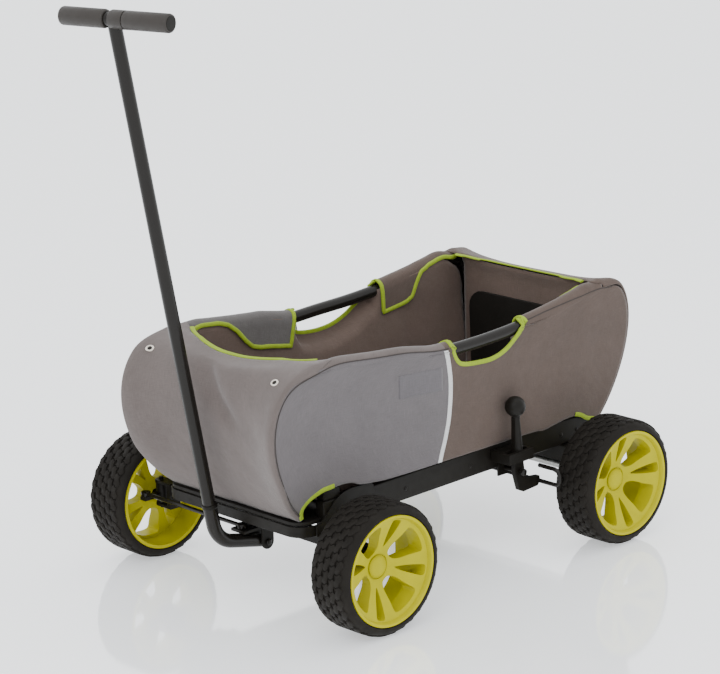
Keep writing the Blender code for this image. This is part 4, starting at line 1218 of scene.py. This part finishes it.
def rim_windows(degrees):
    """A wide window between spokes and a narrow slit in each split spoke."""
    outlines = []
    for k in range(SPOKES):
        turn = 2 * math.pi * k / SPOKES + math.radians(degrees)
        slit = [(0.0335, 0.0), (0.040, 0.0026), (0.052, 0.0056), (0.066, 0.0080), (0.0790, 0.0090),
                (0.0822, 0.0052), (0.0826, 0.0), (0.0822, -0.0052), (0.0790, -0.0090), (0.066, -0.0080),
                (0.052, -0.0056), (0.040, -0.0026)]
        window = [(0.0268, 0.0), (0.0285, 0.0080), (0.0370, 0.0150), (0.0540, 0.0205), (0.0690, 0.0262),
                  (0.0742, 0.0235), (0.0772, 0.0135), (0.0786, 0.0), (0.0772, -0.0135), (0.0742, -0.0235),
                  (0.0690, -0.0262), (0.0540, -0.0205), (0.0370, -0.0150), (0.0285, -0.0080)]
        for shape, angle in ((slit, turn), (window, turn + math.pi / SPOKES)):
            cos, sin = math.cos(angle), math.sin(angle)
            outlines.append([(a * cos - b * sin, a * sin + b * cos) for a, b in rounded_loop(shape)])
    return outlines


def make_rim(name, side, centre, body_name):
    """Barrel, stepped lip, dished web and hub, cut by the windows; the cut edges are then rounded."""
    boss_back = -0.0106 if name.startswith("front") else -0.0336
    profile = [(0.0874, 0.0412), (0.0892, 0.0418), (0.0917, 0.0414), (0.0922, 0.0404),
               (0.0922, 0.0374), (0.0890, 0.0374), (0.0890, -0.0374), (0.0922, -0.0374),
               (0.0922, -0.0410), (0.0862, -0.0412), (0.0850, -0.0040), (0.0838, 0.0020),
               (0.0600, -0.0030), (0.0300, -0.0092), (0.0190, -0.0098), (0.0175, boss_back),
               (0.0079, boss_back), (0.0079, 0.0040), (0.0208, 0.0040), (0.0212, 0.0056),
               (0.0240, 0.0066), (0.0420, 0.0150), (0.0640, 0.0252), (0.0790, 0.0318),
               (0.0822, 0.0330), (0.0846, 0.0342), (0.0850, 0.0372)]
    rim = lathe_mesh(f"spoked_rim_{name}", profile, 96, side, centre, sharp=30)
    body = bmesh.new()
    for outline in rim_windows(SPOKE_TURN[name]):
        placed = [(centre[1] + a, centre[2] + b) for a, b in outline]
        add_prism(body, placed, centre[0] - side * 0.0300, centre[0] + side * 0.0600)
    cut(rim, from_bmesh(f"windows_{name}", body, 0))
    rim.data.shade_smooth()
    rim.data.set_sharp_from_angle(angle=math.radians(30))
    bevel = rim.modifiers.new("soft_edges", "BEVEL")
    bevel.width = 0.0009
    bevel.segments = 2
    bevel.limit_method = "ANGLE"
    bevel.angle_limit = math.radians(40)
    bevel.harden_normals = True
    apply_modifiers(rim)
    keep(rim, body_name, LIME, [f"rim_{name}"])
    cap = [(0.0, 0.0100), (0.0060, 0.0097), (0.0120, 0.0087), (0.0165, 0.0070), (0.0186, 0.0052),
           (0.0190, 0.0040), (0.0, 0.0040)]
    seat = (centre[0] + side * 0.0018, centre[1], centre[2])
    hub = lathe_mesh(f"cap_{name}", cap, 48, side, seat, sharp=50)
    keep(hub, body_name, LIME, [f"hub_cap_{name}"])


def make_wheels():
    for name in WHEELS:
        side = 1 if name.endswith("left") else -1
        centre = Vector(JOINTS[f"wheel_{name}_spin"]["pos_m"])
        make_tyre(name, side, centre, f"wheel_{name}")
        make_rim(name, side, centre, f"wheel_{name}")


# ---- handle ---------------------------------------------------------------------------------
def make_handle():
    """Bent lower tube, upper tube, and the crossbar with its collar and grips."""
    crossbar = Vector((0.0050, y_at(-0.2464), 0.9961))
    tube_top = Vector((-0.0015, crossbar.y, crossbar.z))
    across = Vector((math.cos(CROSSBAR_TWIST), math.sin(CROSSBAR_TWIST), 0.0))
    askew = Matrix.Translation(crossbar) @ Matrix.Rotation(CROSSBAR_TWIST, 4, "Z")
    seam = Vector((0.0, y_at(-0.104), 0.175))
    bend = Vector((0.0, y_at(-0.092), 0.110))
    tail = HANDLE_PIVOT + Vector((0.0, 0.010, -0.00257))
    first, second = (tail - bend).normalized(), (seam - bend).normalized()
    half = first.angle(second) / 2
    radius = 0.050
    middle = bend + (first + second).normalized() * (radius / math.sin(half))
    reach = radius / math.tan(half)
    path = [tail]
    for k in range(25):
        chord = (bend + first * reach).lerp(bend + second * reach, k / 24)
        path.append(middle + (chord - middle).normalized() * radius)
    path.append(seam)
    coat = (GLOSS_BLACK, "handle", "black_powder_coat")
    lower_radius, half_crossbar = 0.0120, 0.0965
    bar("pull_tube_lower", path, lower_radius, *coat, ["handle_lower_tube"], sides=10)
    up = (tube_top - seam).normalized()
    bar("pull_tube", [seam + up * 0.0006, tube_top], BAR_RADIUS, *coat, ["handle_tube"], sides=10)
    collet = [(0.0112, 0.0040), (0.0128, 0.0034), (0.0131, 0.0020), (0.0131, -0.0022),
              (0.0124, -0.0034), (0.0112, -0.0034)]
    ring = lathe_mesh("pull_tube_joint_ring", collet, 40)
    ring.data.transform(facing(seam, up))
    keep(ring, "handle", NYLON)
    ends = [crossbar - across * half_crossbar, crossbar + across * half_crossbar]
    bar("pull_crossbar", ends, BAR_RADIUS, *coat, sides=10)
    sleeve = [(0.0112, 0.0186), (0.0149, 0.0184), (GRIP_RADIUS, 0.0150), (GRIP_RADIUS, -0.0060),
              (0.0141, -0.0082), (0.0112, -0.0090)]
    collar = lathe_mesh("crossbar_collar", sleeve, 40)
    collar.data.transform(askew)
    keep(collar, "handle", FOAM)
    half, outer = 0.0430, GRIP_RADIUS
    foam = [(0.0, half), (outer - 0.0030, half), (outer - 0.0008, half - 0.0010),
            (outer, half - 0.0034), (outer, -half + 0.0034), (outer - 0.0008, -half + 0.0010),
            (outer - 0.0024, -half), (0.0113, -half), (0.0113, half - 0.0064), (0.0, half - 0.0064)]
    plug = [(0.0, 0.0006), (0.0114, 0.0006), (0.0120, 0.0), (0.0120, -0.0040), (0.0, -0.0040)]
    for side, sign in SIDES.items():
        grip = lathe_mesh(f"foam_grip_{side}", foam, 48, sign, (sign * 0.0610, 0, 0), sharp=60)
        grip.data.transform(askew)
        keep(grip, "handle", FOAM, [f"grip_{side}"])
        cap = lathe_mesh(f"grip_end_{side}", plug, 40, sign, (sign * 0.1040, 0, 0))
        cap.data.transform(askew)
        keep(cap, "handle", NYLON)


# ---- parking brake --------------------------------------------------------------------------
def make_brake():
    """Ball knob, moulded lever grip and the pivot's bolt head."""
    low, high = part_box("brake_knob")
    middle = (low + high) / 2
    radius = (high.z - low.z) / 2
    turns = [math.radians(6 * k) for k in range(1, 27)]
    ball = [(0.0, radius)] + [(radius * math.sin(t), radius * math.cos(t)) for t in turns]
    neck = 0.0075
    ball += [(neck, -radius + 0.0015), (neck, -radius - 0.004), (0.0, -radius - 0.004)]
    knob = lathe_mesh("brake_ball_knob", ball, 40, sharp=50)
    lever_low, lever_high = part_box("brake_lever")
    lever_x = (lever_low.x + lever_high.x) / 2
    foot = Vector((lever_x, BRAKE_PIVOT.y + 0.001, BRAKE_PIVOT.z + 0.020))
    knob.data.transform(facing(middle, (middle - foot).normalized()))
    keep(knob, "brake", NYLON, ["brake_knob"])
    grip = [foot.lerp(middle, k / 20) for k in range(19)]
    bar("brake_lever_handle", grip, 0.0100, NYLON, "brake", "black_nylon", sides=8,
        taper=lambda t: mix(1.0, 0.68, ease(t)) if t > 0.05 else 0.92)
    bolt_face = max(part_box("brake_bracket_left")[1].x, lever_high.x)
    head = [(0.0, 0.0038), (0.0040, 0.0038), (0.0062, 0.0026), (0.0066, 0.0010), (0.0066, 0.0), (0.0, 0.0)]
    seat = (bolt_face - 0.0004, BRAKE_PIVOT.y, BRAKE_PIVOT.z)
    bolt = lathe_mesh("brake_pivot_bolt", head, 24, 1, seat)
    keep(bolt, "brake", GLOSS_BLACK)


# ---- small fasteners and CAD nodes ----------------------------------------------------------
def button_head(name, place, sign, radius, body_name, mat):
    """A domed head on a face that looks along X."""
    dome = [(0.0, 0.38), (0.45, 0.36), (0.80, 0.24), (0.98, 0.08), (1.0, 0.0), (0.0, 0.0)]
    obj = lathe_mesh(name, [(r * radius, h * radius) for r, h in dome], 24, sharp=50)
    obj.data.transform(facing(place, (sign, 0, 0)))
    keep(obj, body_name, mat)


def outer_x(node_name, sign):
    """X of a CAD node's face towards a side."""
    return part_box(node_name)[1 if sign > 0 else 0].x


def make_fasteners():
    """Heads of the bracket's screws, the rails' rivets and the handle's pivot pin."""
    rivet_height = 0.172
    for side, sign in SIDES.items():
        x = outer_x(f"corner_bracket_{side}", sign)
        for k, (length, height) in enumerate(((0.020, 0.176), (0.078, 0.176), (0.050, 0.160))):
            place = (x, y_at(length), height)
            button_head(f"bracket_screw_{side}_{k}", place, sign, 0.0042, ROOT, NYLON)
        x = outer_x(f"side_rail_{side}", sign)
        for k, length in enumerate((0.175, 0.330, 0.560, 0.600)):
            place = (x, y_at(length), rivet_height)
            button_head(f"rail_rivet_{side}_{k}", place, sign, 0.0040, ROOT, NYLON)
        place = (outer_x("handle_pivot_pin", sign) - sign * 0.0006, HANDLE_PIVOT.y, HANDLE_PIVOT.z)
        button_head(f"pivot_pin_head_{side}", place, sign, 0.0056, "steering", GLOSS_BLACK)


def refinish(name, mat, bevel=0.0):
    """Gives a CAD node its material, smooth shading where round, and broken edges."""
    obj = frame["nodes"][name]
    obj.data.materials.clear()
    obj.data.materials.append(mat)
    obj.data.shade_smooth()
    weld = obj.modifiers.new("weld", "WELD")
    weld.merge_threshold = 0.00002
    if bevel:
        edges = obj.modifiers.new("edges", "BEVEL")
        edges.width = bevel
        edges.segments = 2
        edges.limit_method = "ANGLE"
        edges.angle_limit = math.radians(50)
    normals = obj.modifiers.new("normals", "WEIGHTED_NORMAL")
    normals.keep_sharp = True
    normals.weight = 80


def finish_cad_nodes():
    """Materials and broken edges for the nodes that are seen as the CAD made them."""
    powder = ["front_bumper", "rear_crossbar", "front_axle_beam", "rear_axle_beam", "steering_yoke",
              "brake_bracket_left", "brake_bracket_right", "brake_lever", "brake_arm_right"]
    powder += [f"{part}_{side}" for part in ("side_rail", "corner_bracket") for side in SIDES]
    for name in powder:
        refinish(name, POWDER, 0.0008)
    for name in ("front_cross_tube", "rear_cross_tube", "tie_rod_left", "tie_rod_right"):
        refinish(name, GLOSS_BLACK)
    for name in ("floor_panel", "back_panel"):
        refinish(name, BOARD, 0.0008)
    for side in SIDES:
        refinish(f"corner_joint_{side}", NYLON, 0.0006)
        refinish(f"knuckle_{side}", POWDER, 0.0005)
        for end in ("front", "rear"):
            refinish(f"post_socket_{end}_{side}", NYLON, 0.0008)
    for name in ("rear_axle", "steering_pivot_bolt", "snap_button"):
        refinish(name, ZINC)
    for name in ("brake_bar", "handle_pivot_pin"):
        refinish(name, GLOSS_BLACK)


# ---- studio ---------------------------------------------------------------------------------
def area_light(name, place, target, size, power):
    light = bpy.data.lights.new(name, "AREA")
    light.shape = "RECTANGLE"
    light.size, light.size_y = size
    light.energy = power
    obj = linked(name, light)
    obj.location = place
    obj.rotation_mode = "QUATERNION"
    obj.rotation_quaternion = (Vector(target) - Vector(place)).to_track_quat("-Z", "Y")


def make_studio():
    """A glossy white floor under an even sky, with three soft lights."""
    body = bmesh.new()
    bmesh.ops.create_grid(body, x_segments=1, y_segments=1, size=14)
    floor = from_bmesh("studio_floor", body, 0)
    mat, _, shader = surface("studio_floor", 0.07)
    shader.inputs["Base Color"].default_value = (0.86, 0.88, 0.90, 1.0)
    shader.inputs["Specular IOR Level"].default_value = 1.0
    shader.inputs["IOR"].default_value = 2.1
    shader.inputs["Emission Color"].default_value = (0.97, 0.99, 1.0, 1.0)
    shader.inputs["Emission Strength"].default_value = 0.6
    floor.data.materials.append(mat)
    floor.location.z = -0.0005
    world = bpy.data.worlds.new("studio")
    bpy.context.scene.world = world
    world.use_nodes = True
    backdrop = world.node_tree.nodes["Background"]
    backdrop.inputs["Color"].default_value = (0.97, 0.985, 1.0, 1.0)
    backdrop.inputs["Strength"].default_value = 1.75
    area_light("key", (1.6, -2.6, 2.9), (0, 0, 0.3), (1.8, 1.2), 30)
    area_light("fill", (-2.6, -1.6, 1.8), (0, 0, 0.3), (2.0, 2.0), 6)
    area_light("top", (0.2, 0.6, 3.2), (0, 0, 0.2), (2.4, 2.4), 16)


def make_camera():
    """The photo's camera, solved from the wheels' ellipses and the handle's line."""
    azimuth, elevation, roll = (math.radians(a) for a in (46.5746, 15.6002, -1.8515))
    target = Vector((-0.0238, y_at(0.27), 0.377))
    distance = 4.6905
    back = Vector((math.sin(azimuth) * math.cos(elevation), -math.cos(azimuth) * math.cos(elevation),
                   math.sin(elevation)))
    camera = bpy.data.cameras.new("camera")
    camera.sensor_width = 36.0
    camera.lens = 136.72
    camera.clip_end = 60.0
    obj = linked("camera", camera)
    forward = -back
    right = forward.cross(Vector((0, 0, 1))).normalized()
    up = right.cross(forward)
    level = Matrix((right, up, back)).transposed()
    obj.location = target + back * distance
    obj.rotation_mode = "QUATERNION"
    obj.rotation_quaternion = (level @ Matrix.Rotation(roll, 3, "Z")).to_quaternion()
    bpy.context.scene.camera = obj


make_studio()
make_camera()
for side_name, side_sign in SIDES.items():
    make_side_cover(side_name, side_sign)
end_cover("front")
end_cover("rear")
make_front_lining()
make_rear_lining()
make_floor_mat()
make_hoops()
make_wheels()
make_handle()
make_brake()
make_fasteners()
finish_cad_nodes()
